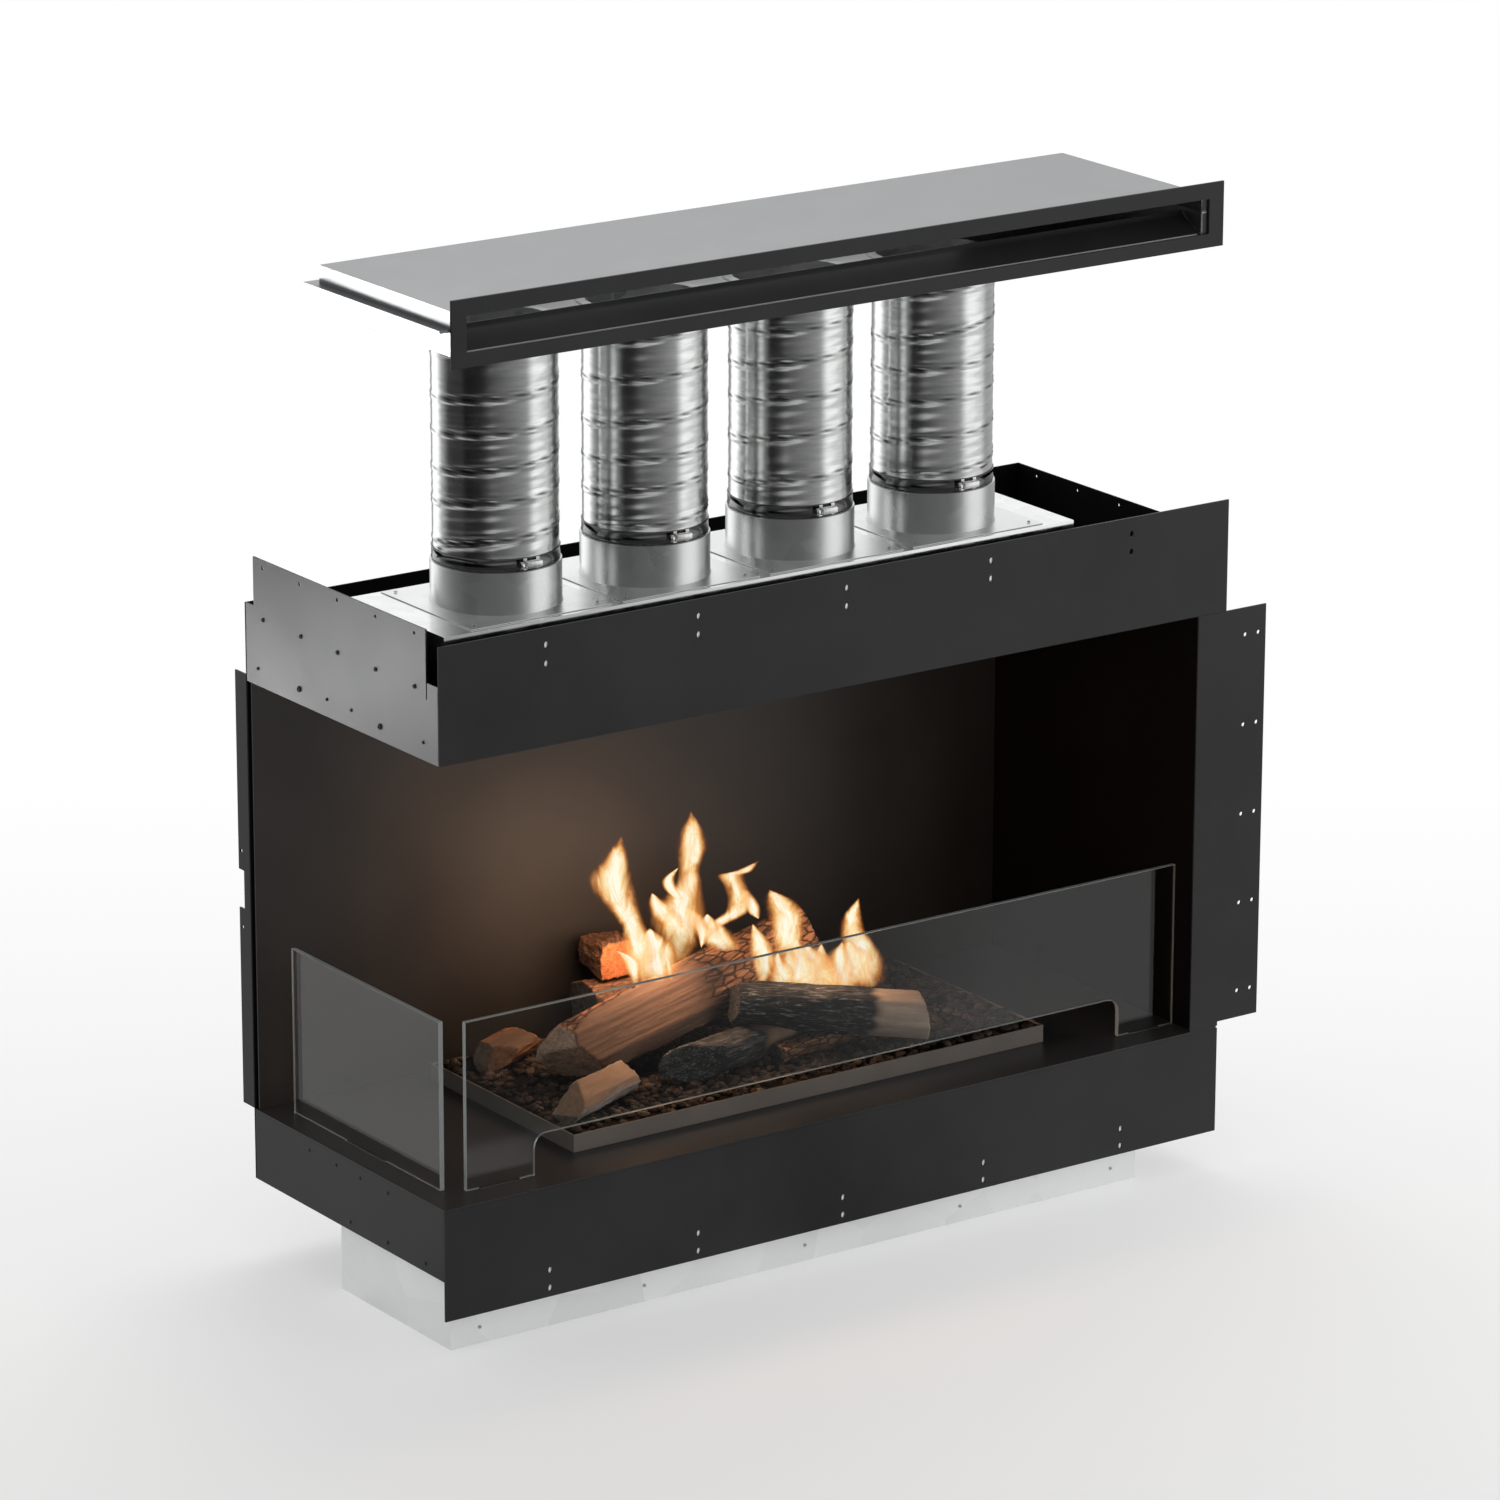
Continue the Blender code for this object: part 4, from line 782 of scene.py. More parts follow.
def wind(duct, rng, height, radius):
    """Press the lock seam and the pleats into the wall along a helix, and store where the seam's groove gets
    painted shade.
    """
    own = settings()
    places = coordinates(duct)
    turn = np.arctan2(places[:, 1], places[:, 0])
    rise = places[:, 2] + height / 2
    drift = sum(share * np.sin(rise / height * TURN * waves + rng.uniform(0, 6.3))
                for waves, share in ((1.3, 0.10), (2.7, 0.05), (5.1, 0.03)))
    phase = rise / own.seam_pitch - turn / TURN + drift + rng.random()
    part = phase - np.floor(phase)
    across = np.minimum(part, 1 - part) * own.seam_pitch
    ridge = own.seam_height * np.exp(-((across - RIDGE_PLACE) / RIDGE_WIDTH) ** 2)
    groove = -0.8 * own.seam_height * np.exp(-(across / GROOVE_WIDTH) ** 2)
    pleats = own.pleat_depth * np.cos(TURN * part * 3)
    uneven = 0.65 + 0.5 * np.sin(2 * turn + 5 * rise / height * math.pi + rng.uniform(0, 6.3))
    plain = np.clip((np.minimum(rise, height - rise) - PLAIN_END) / PLAIN_FADE, 0, 1)
    bend = SWAY * np.sin(2 * turn + rng.uniform(0, 6.3)) * np.sin(math.pi * rise / height) * plain
    relief = np.clip(ridge + groove + pleats * uneven, -1.4 * own.seam_height, own.seam_height)
    wall = radius + relief * plain + bend
    places[:, 0] = wall * np.cos(turn)
    places[:, 1] = wall * np.sin(turn)
    put_coordinates(duct, places)
    # Painted shade along the seam's groove, which darkens the foil's colour
    vertex_values(duct, "seam", np.exp(-(across / SEAM_SHADE_WIDTH) ** 2) * plain)


class FIREPLACE_OT_ducts(bpy.types.Operator):
    """Wind the four ribbed aluminium ducts"""

    bl_idname = "fireplace.ducts"
    bl_label = "Ribbed ducts"

    def execute(self, context):
        foil = duct_foil()
        for number in DUCTS:
            duct = wound_duct(number)
            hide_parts(f"duct_{number}")
            dress(duct, foil)
        return {"FINISHED"}


class FIREPLACE_OT_collars(bpy.types.Operator):
    """Turn the four collars with their flange plates"""

    bl_idname = "fireplace.collars"
    bl_label = "Duct collars"

    def execute(self, context):
        zinc = galvanised("collar_zinc", (0.80, 0.81, 0.81), 0.27, 0.33, 45.0)
        coat_node(zinc, *[f"hood_collar_{number}" for number in DUCTS])
        outer, neck, neck_height = 71.0 * MM, 66.9 * MM, 24 * MM
        wall, bend, sheet = 1.4 * MM, 1.2 * MM, 0.8 * MM
        for number in DUCTS:
            low, high, middle = reach(f"duct_collar_{number}")
            shoulder = high.z - neck_height
            foot = outer + bend * 1.5
            collar = spun(f"swaged_collar_{number}", [
                (neck, high.z), (neck, shoulder + bend * 0.4), (neck + bend * 0.4, shoulder),
                (outer - bend, shoulder), (outer - bend * 0.3, shoulder - bend * 0.3), (outer, shoulder - bend),
                (outer, low.z + bend * 1.5), (outer + bend * 0.5, low.z + bend * 0.5), (foot, low.z + 0.9 * MM),
                (foot, low.z), (outer - wall, low.z), (outer - wall, shoulder - wall * 2),
                (neck - wall, shoulder - wall), (neck - wall, high.z),
            ], middle)
            plate = bar("flange", low, (high.x, high.y, low.z + sheet))
            centre = (middle.x, middle.y, low.z)
            hole = round_bar("hole", outer + bend * 0.9, 10 * MM, centre, (0, 0, 1), ROUND)
            combine(collar, combine(plate, hole, "DIFFERENCE"), "UNION")
            smooth(collar)
            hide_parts(f"duct_collar_{number}")
            dress(collar, zinc)
        return {"FINISHED"}


def clamp_band(number, centre, low, high):
    """The band with its rolled edges."""
    inner, outer, bead = 68.35 * MM, 69.0 * MM, 69.5 * MM
    return smooth(spun(f"band_{number}", [
        (inner, high), (outer, high), (bead, high - 0.5 * MM), (outer, high - 1.3 * MM), (outer, low + 1.3 * MM),
        (bead, low + 0.5 * MM), (outer, low), (inner, low),
    ], centre))


def clamp_cover(axis):
    """The pressed housing over the worm, on two feet that grip the band."""
    half = 11.5 * MM
    cover = bar("housing", (axis.x - half, axis.y - 3.7 * MM, axis.z - 4.2 * MM),
                (axis.x + half, axis.y + 4.4 * MM, axis.z + 4.2 * MM))
    soften(cover, 2.4 * MM, 4)
    combine(cover, round_bar("bore", 2.9 * MM, 60 * MM, axis, (1, 0, 0)), "DIFFERENCE")
    for side in (-8 * MM, 8 * MM):
        foot = bar("foot", (axis.x + side - 2.2 * MM, axis.y + 3.2 * MM, axis.z - 6.3 * MM),
                   (axis.x + side + 2.2 * MM, axis.y + 4.3 * MM, axis.z + 6.3 * MM))
        combine(cover, foot, "UNION")
    return smooth(cover)


def clamp_screw(number, axis):
    """The worm with its thread and its slotted head at the left."""
    low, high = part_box(f"clamp_screw_{number}")
    root, pitch, thread, inset = 2.1 * MM, 2.1 * MM, 0.35 * MM, 3 * MM
    head = round_bar(f"worm_{number}", 4.1 * MM, 3.9 * MM, (low.x + 1.96 * MM, axis.y, axis.z), (1, 0, 0), 32)
    soften(settle(head), 0.5 * MM)
    slot = bar("slot", (low.x - 1 * MM, axis.y - 5 * MM, axis.z - 0.5 * MM),
               (low.x + 1.4 * MM, axis.y + 5 * MM, axis.z + 0.5 * MM))
    combine(head, slot, "DIFFERENCE")
    centre = ((low.x + high.x) / 2 + inset / 2, axis.y, axis.z)
    shank = settle(round_bar("shank", root, high.x - low.x - inset, centre, (1, 0, 0), 20))
    places = coordinates(shank)
    with Editing(shank, "edges", lambda edge: edge_run(places, edge, 0) > 10 * MM):
        bpy.ops.mesh.subdivide(number_cuts=64)
    places = coordinates(shank)
    turn = np.arctan2(places[:, 2] - axis.z, places[:, 1] - axis.y)
    depth = thread * np.sin((places[:, 0] - low.x) / pitch * TURN - turn)
    for column, core in ((1, axis.y), (2, axis.z)):
        places[:, column] = core + (places[:, column] - core) * (1 + depth / root)
    put_coordinates(shank, places)
    return smooth(combine(head, shank, "UNION"))


class FIREPLACE_OT_clamps(bpy.types.Operator):
    """Close the worm-drive clamps around the ducts"""

    bl_idname = "fireplace.clamps"
    bl_label = "Hose clamps"

    def execute(self, context):
        mirror = brushed_steel("clamp_band_steel", (0.20, 0.20, 0.205), (1, 1, 30), 0.12)
        bright = brushed_steel("worm_steel", (0.88, 0.88, 0.87), (20, 1, 1), 0.22)
        for number in DUCTS:
            low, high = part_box(f"clamp_band_{number}")
            centre = reach(f"duct_{number}")[2]
            axis = Vector((centre.x, low.y + 3.75 * MM, (low.z + high.z) / 2))
            band = clamp_band(number, centre, low.z, high.z)
            band.data.materials.append(mirror)
            cover = clamp_cover(axis)
            cover.data.materials.append(bright)
            whole = joined([band, cover], f"worm_clamp_{number}")
            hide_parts(f"clamp_band_{number}")
            dress(whole, None)
            screw = clamp_screw(number, axis)
            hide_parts(f"clamp_screw_{number}")
            dress(screw, bright, f"worm_screw_{number}")
        return {"FINISHED"}


class FIREPLACE_OT_glass(bpy.types.Operator):
    """Fit the two glass guards with ground rims"""

    bl_idname = "fireplace.glass"
    bl_label = "Glass guards"

    def execute(self, context):
        sheet = guard_glass("guard_glass_sheet", (0.93, 0.95, 0.94), 0.0, 1.0)
        rim = guard_glass("guard_glass_rim", (0.50, 0.54, 0.52), 0.25, 0.6)
        for node, body, flat in (("front_glass", "front_pane", 1), ("side_glass", "side_pane", 0)):
            pane = eased(node, f"{body}_glass", 1)
            pane.data.materials.append(sheet)
            pane.data.materials.append(rim)
            for face in pane.data.polygons:
                face.material_index = 0 if abs(face.normal[flat]) > 0.9 else 1
            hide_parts(node)
            dress(pane, None, body)
        return {"FINISHED"}


# Logs

# Tones of the cast ceramic, dark to pale
BROWN = ((0.150, 0.094, 0.062), (0.196, 0.126, 0.085), (0.235, 0.155, 0.106))
TAN = ((0.084, 0.047, 0.031), (0.114, 0.065, 0.043), (0.140, 0.083, 0.056))
DIM = ((0.050, 0.030, 0.019), (0.085, 0.052, 0.034), (0.120, 0.077, 0.052))
BARK = ((0.050, 0.022, 0.012), (0.165, 0.075, 0.038), (0.290, 0.145, 0.078))
ASH = ((0.012, 0.012, 0.012), (0.040, 0.038, 0.038), (0.120, 0.115, 0.112))
PALE = ((0.310, 0.225, 0.170), (0.460, 0.340, 0.262), (0.600, 0.460, 0.365))
DUSTY = ((0.100, 0.079, 0.068), (0.240, 0.195, 0.172), (0.370, 0.310, 0.280))
WARM_END = ((0.19, 0.060, 0.020), (0.42, 0.130, 0.046))
GREY_END = ((0.020, 0.018, 0.017), (0.075, 0.066, 0.060))
BLACK_END = ((0.004, 0.004, 0.004), (0.014, 0.013, 0.012))
WORN_END = ((0.240, 0.160, 0.112), (0.480, 0.320, 0.225))
CHOPPED_END = ((0.070, 0.050, 0.036), (0.150, 0.105, 0.075))

CHARRED, SPLIT = "charred_log_ceramic", "split_log_ceramic"

# Each log's slot; its surface as log_surface() takes it; its split face: the way that it looks, or None for all
# round, and the shares of the length that it spans; and the flat chops that give it its corners: a place in
# shares of the log's box and the way that the chop looks
LOGS = {
    "log_large_split": (SPLIT, ("large_log", TAN, BARK, WORN_END, 0.05, 0.9), ((-0.25, -0.80, 0.35), -1, 0.06), (
        ((0.02, 0.5, 0.42), (-0.88, -0.30, 0.36)), ((0.03, 0.5, 0.10), (-0.66, -0.55, -0.50)),
        ((0.5, 0.5, 0.97), (-0.28, -0.25, 0.92)))),
    "log_lower_middle": (CHARRED, ("middle_log", BROWN, ASH, BLACK_END, 0.3, 0.2), (None, 0.10, 1), (
        ((0.06, 0.4, 0.55), (-0.88, -0.35, 0.32)), ((0.5, 0.16, 0.5), (-0.30, -0.92, 0.25)))),
    "log_small_front": (SPLIT, ("small_log", BROWN, DUSTY, CHOPPED_END, 0.1), ((-0.10, -0.45, 0.89), -1, 1), (
        ((0.16, 0.5, 0.62), (-0.62, -0.15, 0.77)), ((0.90, 0.3, 0.6), (0.75, -0.62, 0.20)),
        ((0.5, 0.14, 0.5), (0.12, -0.97, 0.20)))),
    "log_left_split": (SPLIT, ("left_log", DIM, BARK, CHOPPED_END, 0.05), ((0.1, -0.70, 0.70), -1, 1), (
        ((0.10, 0.4, 0.6), (-0.80, -0.40, 0.45)), ((0.92, 0.5, 0.75), (0.55, 0.10, 0.83)),
        ((0.5, 0.14, 0.4), (-0.25, -0.94, 0.22)))),
    "log_rear_charred": (CHARRED, ("rear_log", BARK, BARK, GREY_END, 0.2, 0.6), (None, 1, 1), ()),
    "log_low_bark": (SPLIT, ("low_log", BARK, BARK, GREY_END, 0.05, 0.9), (None, 1, 1), ()),
    "log_front_charred": (CHARRED, ("front_log", PALE, ASH, BLACK_END, 0.5, 0.25), (None, 0.17, 1), (
        ((0.5, 0.90, 0.86), (0.05, 0.40, 0.92)), ((0.975, 0.5, 0.5), (0.90, -0.40, 0.15)))),
    "log_rear_sawn": (SPLIT, ("sawn_log", BARK, BARK, WARM_END, 0.05, 0.5), (None, 1, 1), (
        ((0.5, 0.5, 0.90), (0.0, 0.12, 0.99)), ((0.5, 0.12, 0.5), (0.20, -0.97, 0.10)),
        ((0.5, 0.5, 0.08), (0.0, -0.10, -0.99)))),
}


# How finely the logs are divided, and the deepest and highest that their relief goes
LOG_VOXEL, LOG_PIT, LOG_RIDGE = 1.7 * MM, -2.2 * MM, 1.6 * MM


def chopped_log(name, chops):
    """A copy of a packed log with flat faces cut into it, kept closed and evenly divided."""
    piece = from_node(name, name.replace("log_", "carved_log_"))
    places = coordinates(piece)
    low, high = places.min(0), places.max(0)
    for share, outward in chops:
        with Editing(piece):
            bpy.ops.mesh.bisect(plane_co=tuple(low + (high - low) * np.array(share)), plane_no=outward,
                                use_fill=True, clear_outer=True)
    return modified(piece, "REMESH", mode="VOXEL", voxel_size=LOG_VOXEL)


def carve(piece, toward, first, last):
    """Press the relief of bark, split face and sawn ends into a log, and store the share of each."""
    places = coordinates(piece)
    middle = places.mean(0)
    axis = np.linalg.svd(places - middle, full_matrices=False)[2][0]
    if axis[0] < 0:
        axis = -axis
    side = np.cross(axis, (0, 0, 1))
    side /= np.linalg.norm(side)
    local = (places - middle) @ np.stack([axis, side, np.cross(side, axis)]).T
    normals = coordinates(piece, "normal")
    end = np.clip((np.abs(normals @ axis) - 0.72) / 0.12, 0, 1)
    share = local[:, 0] / np.ptp(local[:, 0])
    wavy = share + 0.012 * np.sin(local[:, 1] * 260) + 0.010 * np.sin(local[:, 2] * 330 + 1)
    split = np.clip((wavy - first) / 0.03, 0, 1) * np.clip((last - wavy) / 0.05, 0, 1)
    if toward is not None:
        split *= np.clip((normals @ np.array(Vector(toward).normalized()) - 0.66) / 0.16, 0, 1)
    if first > -1:
        end *= share < 0
    scorch = 0.75 * np.exp(-((wavy - (last if toward else first)) / 0.06) ** 2)
    relief = np.empty(len(places))
    for number, (along, across, up) in enumerate(local):
        bark = noise.fractal(Vector((along * 26, across * 120, up * 120)), 0.7, 2.1, 4)
        grain = noise.fractal(Vector((along * 9, across * 210, up * 210)), 0.8, 2.2, 3)
        sawn = noise.noise(Vector((along * 90, across * 60, up * 160)))
        rough = (bark * 1.9 * (1 - split[number]) + grain * 0.55 * split[number]) * (1 - end[number])
        relief[number] = (rough + sawn * 0.35 * end[number]) * MM
    places += normals * np.clip(relief, LOG_PIT, LOG_RIDGE)[:, None]
    put_coordinates(piece, places)
    for key, values in (("grain", local), ("split", split), ("scorch", scorch), ("end", end)):
        vertex_values(piece, key, values)
    return smooth_all(piece)


class FIREPLACE_OT_logs(bpy.types.Operator):
    """Carve bark, split faces and sawn ends into the ceramic logs"""

    bl_idname = "fireplace.logs"
    bl_label = "Ceramic logs"

    def execute(self, context):
        for name, (slot, surface, split, chops) in LOGS.items():
            piece = carve(chopped_log(name, chops), *split)
            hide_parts(name)
            dress(piece, log_surface(*surface))
        return {"FINISHED"}


class FIREPLACE_OT_pebbles(bpy.types.Operator):
    """Strew the bed with pebbles"""

    bl_idname = "fireplace.pebbles"
    bl_label = "Pebble bed"

    def execute(self, context):
        own = settings()
        coat_node(powder_coat("bed_shadow", (0.008, 0.006, 0.005), 0.8, 0.9, 0.1), "pebble_bed")
        rng = np.random.default_rng(11)
        low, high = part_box("pebble_bed")
        slot_low, slot_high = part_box("burner_shutter")
        slide = 40 * MM
        top, bounce = high.z - 2.6 * MM, 4.6 * MM
        slope_drop, slope_width = 4 * MM, 14 * MM
        deselect()
        bpy.ops.mesh.primitive_ico_sphere_add(subdivisions=2, radius=0.5)
        seed = named("pebble_seed")
        ball = coordinates(seed)
        faces = np.array([face.vertices[:] for face in seed.data.polygons])
        bpy.data.objects.remove(seed)
        margin = own.pebble_size * 0.45
        places, corners, tones = [], [], []
        for number in range(own.pebble_count):
            x = rng.uniform(low.x + margin, high.x - margin)
            y = rng.uniform(low.y + margin, high.y - margin)
            # No pebble lies over the burner's slot
            if (slot_low.x - margin < x < slot_high.x + slide + margin
                    and slot_low.y - margin * 0.5 < y < slot_high.y + margin * 0.5):
                y = slot_low.y - margin - rng.uniform(0, 0.02) if rng.random() < 0.7 else slot_high.y + margin
            size = own.pebble_size * rng.uniform(0.62, 1.3) * np.array(
                [1.0, rng.uniform(0.6, 0.85), rng.uniform(0.42, 0.62)])
            lumps = 1 + 0.16 * np.sin(ball @ rng.normal(0, 4.5, 3) + rng.uniform(0, 6.3))
            shape = ball * lumps[:, None] * size
            yaw, tip = rng.uniform(0, 6.3), rng.normal(0, 0.35)
            turn = np.array(Matrix.Rotation(yaw, 3, "Z") @ Matrix.Rotation(tip, 3, "X"))
            lift = top + rng.uniform(0, bounce) - slope_drop * max(0, 1 - (y - low.y) / slope_width)
            places.append(shape @ turn.T + (x, y, lift))
            corners.append(faces + number * len(ball))
            tones.append(np.full(len(ball), rng.random()))
        piece = from_points("loose_pebbles", np.concatenate(places).tolist(), [], np.concatenate(corners).tolist())
        vertex_values(piece, "tone", np.concatenate(tones))
        dress(smooth_all(piece), pebble_stone())
        return {"FINISHED"}


# Flames

# Depth of the fire from the casing's front, and each tongue from foot to tip as places across and up and the
# width there, in millimetres
FIRE_DEPTH = 190
TONGUES = [
    ((388, 300, 14), (385, 326, 31), (379, 347, 31), (376, 366, 24), (363, 391, 29), (350, 414, 38),
     (344, 435, 38), (352, 459, 21), (359, 482, 0)),
    ((377, 300, 8), (373, 326, 17), (363, 339, 13), (350, 348, 0)),
    ((433, 312, 24), (435, 344, 43), (436, 367, 51), (439, 387, 43), (449, 408, 24), (450, 429, 20),
     (454, 451, 29), (454, 471, 20), (452, 494, 0)),
    ((441, 350, 16), (421, 373, 29), (407, 391, 19), (399, 407, 0)),
    ((439, 388, 8), (424, 407, 13), (422, 419, 11), (436, 430, 0)),
    ((448, 378, 16), (460, 363, 18), (467, 346, 11), (466, 327, 0)),
    ((467, 330, 8), (478, 349, 19), (498, 356, 22), (515, 363, 22), (519, 377, 23), (513, 394, 22),
     (507, 407, 25), (524, 409, 16), (547, 418, 0)),
    ((522, 388, 13), (534, 367, 16), (540, 355, 11), (545, 348, 0)),
    ((587, 270, 24), (585, 308, 27), (584, 329, 32), (582, 347, 34), (573, 365, 27), (559, 381, 0)),
    ((549, 268, 8), (551, 294, 24), (549, 312, 24), (543, 329, 14), (536, 345, 0)),
    ((700, 236, 34), (692, 267, 39), (683, 292, 32), (676, 311, 24), (676, 327, 18), (685, 348, 0)),
    ((658, 240, 38), (657, 268, 32), (658, 284, 19), (660, 301, 0)),
    ((607, 250, 40), (604, 278, 39), (600, 295, 24), (596, 316, 0)),
    ((634, 246, 38), (631, 273, 32), (629, 286, 19), (631, 304, 0)),
    ((573, 256, 30), (575, 284, 24), (570, 295, 12), (570, 305, 0)),
    ((405, 300, 40), (402, 325, 52), (400, 345, 40), (396, 366, 0)),
    ((500, 318, 34), (486, 340, 36), (478, 356, 20), (474, 368, 0)),
    ((620, 246, 70), (616, 268, 74), (612, 288, 50), (610, 306, 0)),
    ((664, 240, 50), (668, 262, 60), (670, 284, 40), (668, 300, 0)),
]


def smooth_line(points):
    """A smooth line through the points (Catmull-Rom)."""
    spots = np.array([points[0], *points, points[-1]], float)
    made = []
    for number in range(1, len(spots) - 2):
        before, start, end, after = spots[number - 1:number + 3]
        for share in np.linspace(0, 1, 12, endpoint=False):
            made.append(0.5 * (2 * start + (end - before) * share
                               + (2 * before - 5 * start + 4 * end - after) * share ** 2
                               + (3 * start - before - 3 * end + after) * share ** 3))
    line = np.array([*made, spots[-1]])
    line[:, 2] = np.maximum(line[:, 2], 0)
    return line


def tongue(points, turned):
    """One thin tongue of flame along its own line; a turned one stands across it."""
    deselect()
    bpy.ops.mesh.primitive_uv_sphere_add(segments=24, ring_count=48, radius=1)
    thing = named("flame")
    places = coordinates(thing)
    angle = np.arctan2(places[:, 1], places[:, 0])
    rise = 1 - np.arccos(np.clip(places[:, 2], -1, 1)) / math.pi
    line = smooth_line(points)
    steps = np.linspace(0, 1, len(line))
    x, z, width = (np.interp(rise, steps, line[:, column]) * MM for column in range(3))
    half = width * 0.66 * np.sqrt(np.clip(rise / 0.08, 0, 1)) * (0.8 if turned else 1)
    broad = np.cos(angle) * half
    thin = np.sin(angle) * half * 0.10
    first, second = (CAMERA_AWAY, CAMERA_RIGHT) if turned else (CAMERA_RIGHT, CAMERA_AWAY)
    across = broad[:, None] * first + thin[:, None] * second
    places[:, 0] = CORNER.x + x + across[:, 0]
    places[:, 1] = CORNER.y + FIRE_DEPTH * MM + across[:, 1]
    places[:, 2] = z
    put_coordinates(thing, places)
    core = (1 - np.abs(np.cos(angle)) ** 1.5) * np.clip((1 - rise) / 0.10, 0, 1) * (0.4 if turned else 1)
    vertex_values(thing, "core", core)
    vertex_values(thing, "foot", np.clip(1 - rise / 0.22, 0, 1))
    return thing


class FIREPLACE_OT_flames(bpy.types.Operator):
    """Light the fire"""

    bl_idname = "fireplace.flames"
    bl_label = "Flames"

    def execute(self, context):
        fire = smooth_all(joined([tongue(points, turned) for points in TONGUES for turned in (0, 1)], "fire"))
        fire.visible_shadow = False
        fire.visible_diffuse = False
        dress(fire, flame_glow())
        return {"FINISHED"}


# Screws on the left side: places back and up from the casing's corner and the head's radius, in millimetres
LEFT_SCREWS = [
    (47.1, 749, 2.6), (124.8, 749, 2.6), (201.6, 749, 2.6), (276.9, 749, 2.6), (355.4, 749, 2.6),
    (31.3, 691, 2.0), (117.3, 687, 3.4), (175, 691, 2.0), (224.6, 691, 2.0), (281.7, 688.7, 3.4), (368, 691, 2.0),
    (278.5, 157, 2.0), (222, 157, 2.0), (172.5, 157, 2.0), (115.4, 157, 2.0),
    (194, 99, 2.2), (116.8, 99, 2.2), (40.5, 99, 2.2),
]


def screw_head(place, outward, radius_mm):
    """A domed head with a driver pit."""
    outward, radius = Vector(outward), radius_mm * MM
    height = radius * 0.4
    thing = settle(round_bar("screw_head", radius, height, place + outward * height / 2, outward, 16))
    with Editing(thing, "polygons", lambda face: face.normal.dot(outward) > 0.9):
        bpy.ops.mesh.inset(thickness=radius * 0.25, depth=radius * 0.15)
        bpy.ops.mesh.inset(thickness=radius * 0.3)
        bpy.ops.mesh.inset(thickness=radius * 0.06, depth=-radius * 0.35)
    return thing


class FIREPLACE_OT_screws(bpy.types.Operator):
    """Drive in the screws and rivets that hold the sheets"""

    bl_idname = "fireplace.screws"
    bl_label = "Screws"

    def execute(self, context):
        zinc = brushed_steel("screw_zinc", (0.72, 0.72, 0.70), (1, 1, 1), 0.3)
        black = powder_coat("black_screw", (0.03, 0.03, 0.03), 0.3, 0.4)
        left = [screw_head(spot(0, y, z), (-1, 0, 0), radius) for y, z, radius in LEFT_SCREWS]
        dress(joined(left, "left_side_screws"), black)
        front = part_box("base_box")[0].y
        base = [screw_head(Vector((spot(x).x, front, 19 * MM)), (0, -1, 0), 2.1)
                for x in (57.5, 274, 491, 708, 924)]
        dress(joined(base, "base_screws"), zinc)
        inset = 78 * MM
        heads = []
        for number in DUCTS:
            low, _, middle = reach(f"duct_collar_{number}")
            for across in (-inset, inset):
                for back in (-inset, inset):
                    place = Vector((middle.x + across, middle.y + back, low.z + 1.5 * MM))
                    heads.append(screw_head(place, (0, 0, 1), 2.0))
        dress(joined(heads, "collar_screws"), zinc)
        return {"FINISHED"}


# Studio

# Greys around the object as shiny things see them, by direction: far off on the floor, near on it, and above it
PANELS = {
    "Far": ((0.0, 0.0), (0.10, 0.004), (0.15, 0.025), (0.23, 0.065), (0.31, 0.11), (0.345, 0.38), (0.43, 0.38),
            (0.47, 0.12), (0.61, 0.10), (0.745, 0.10), (0.762, 0.50), (0.825, 0.50), (0.86, 0.14), (0.91, 0.01)),
    "Near": ((0.0, 0.10), (0.10, 0.16), (0.20, 0.20), (0.26, 0.06), (0.34, 0.12), (0.362, 0.24), (0.45, 0.24),
             (0.48, 0.12), (0.75, 0.2), (0.88, 0.2)),
    "Sky": ((0.0, 0.03), (0.25, 0.04), (0.31, 0.09), (0.35, 0.32), (0.42, 0.32), (0.47, 0.10), (0.55, 0.12),
            (0.61, 0.34), (0.74, 0.36), (0.82, 0.22), (0.95, 0.05)),
}
PANEL_GAIN = 3.0
FLOOR_SIZE = 60
FLOOR_DROP = -0.3 * MM
FIRE_GLOW = (1.0, 0.62, 0.38)
FIRE_RADIUS = 0.05

# Square lamps, or flat ones where a height is given, and the warm lamps in the fire. A lamp that isn't shiny
# doesn't show in shiny surfaces, one that isn't matt shows only in them, and "only" names all that it lights
LAMPS = (
    ("left_softbox", (-3.6, 1.2, 1.5), (-0.3, 0, 0.5), 2.4, 21, {"shiny": False}),
    ("left_reflector", (-1.13, 0.82, 0.415), (-0.56, 0, 0.73), 0.9, 5.2,
     {"matt": False, "height": 0.16, "only": ("left_fascia", "left_apron")}),
    ("hood_reflector", (-0.74, 0.22, 1.045), (-0.54, -0.07, 1.14), 0.4, 1.2,
     {"matt": False, "height": 0.08, "only": ("hood_tray", "hood_lid")}),
    ("top_softbox", (1.0, 1.2, 4.0), (0, 0, 0.4), 2.6, 55, {}),
    ("hood_lamp", spot(380, 130, 1158), spot(380, 130.1, 1113), 0.68, 0.33, {"height": 0.2}),
    ("front_fill", (1.6, -3.4, 0.7), (0, 0, 0.2), 1.6, 38, {"shiny": False}),
)
FIRE_LAMPS = (
    ("fire_low", spot(430, 215, 350), 1.75),
    ("fire_left", spot(370, 230, 400), 1.6),
    ("fire_right", spot(620, 165, 310), 0.8),
)


def panels(place):
    """The panels around the object, as a shared group."""
    def build(start):
        around = add(start["Place"].id_data, "ShaderNodeTexGradient", {"Vector": start["Place"]},
                     gradient_type="RADIAL")
        return [times(ramp(around["Fac"], *stops), PANEL_GAIN) for stops in PANELS.values()]

    return use_group(shared_group("studio panels", {}, PANELS, build), place)


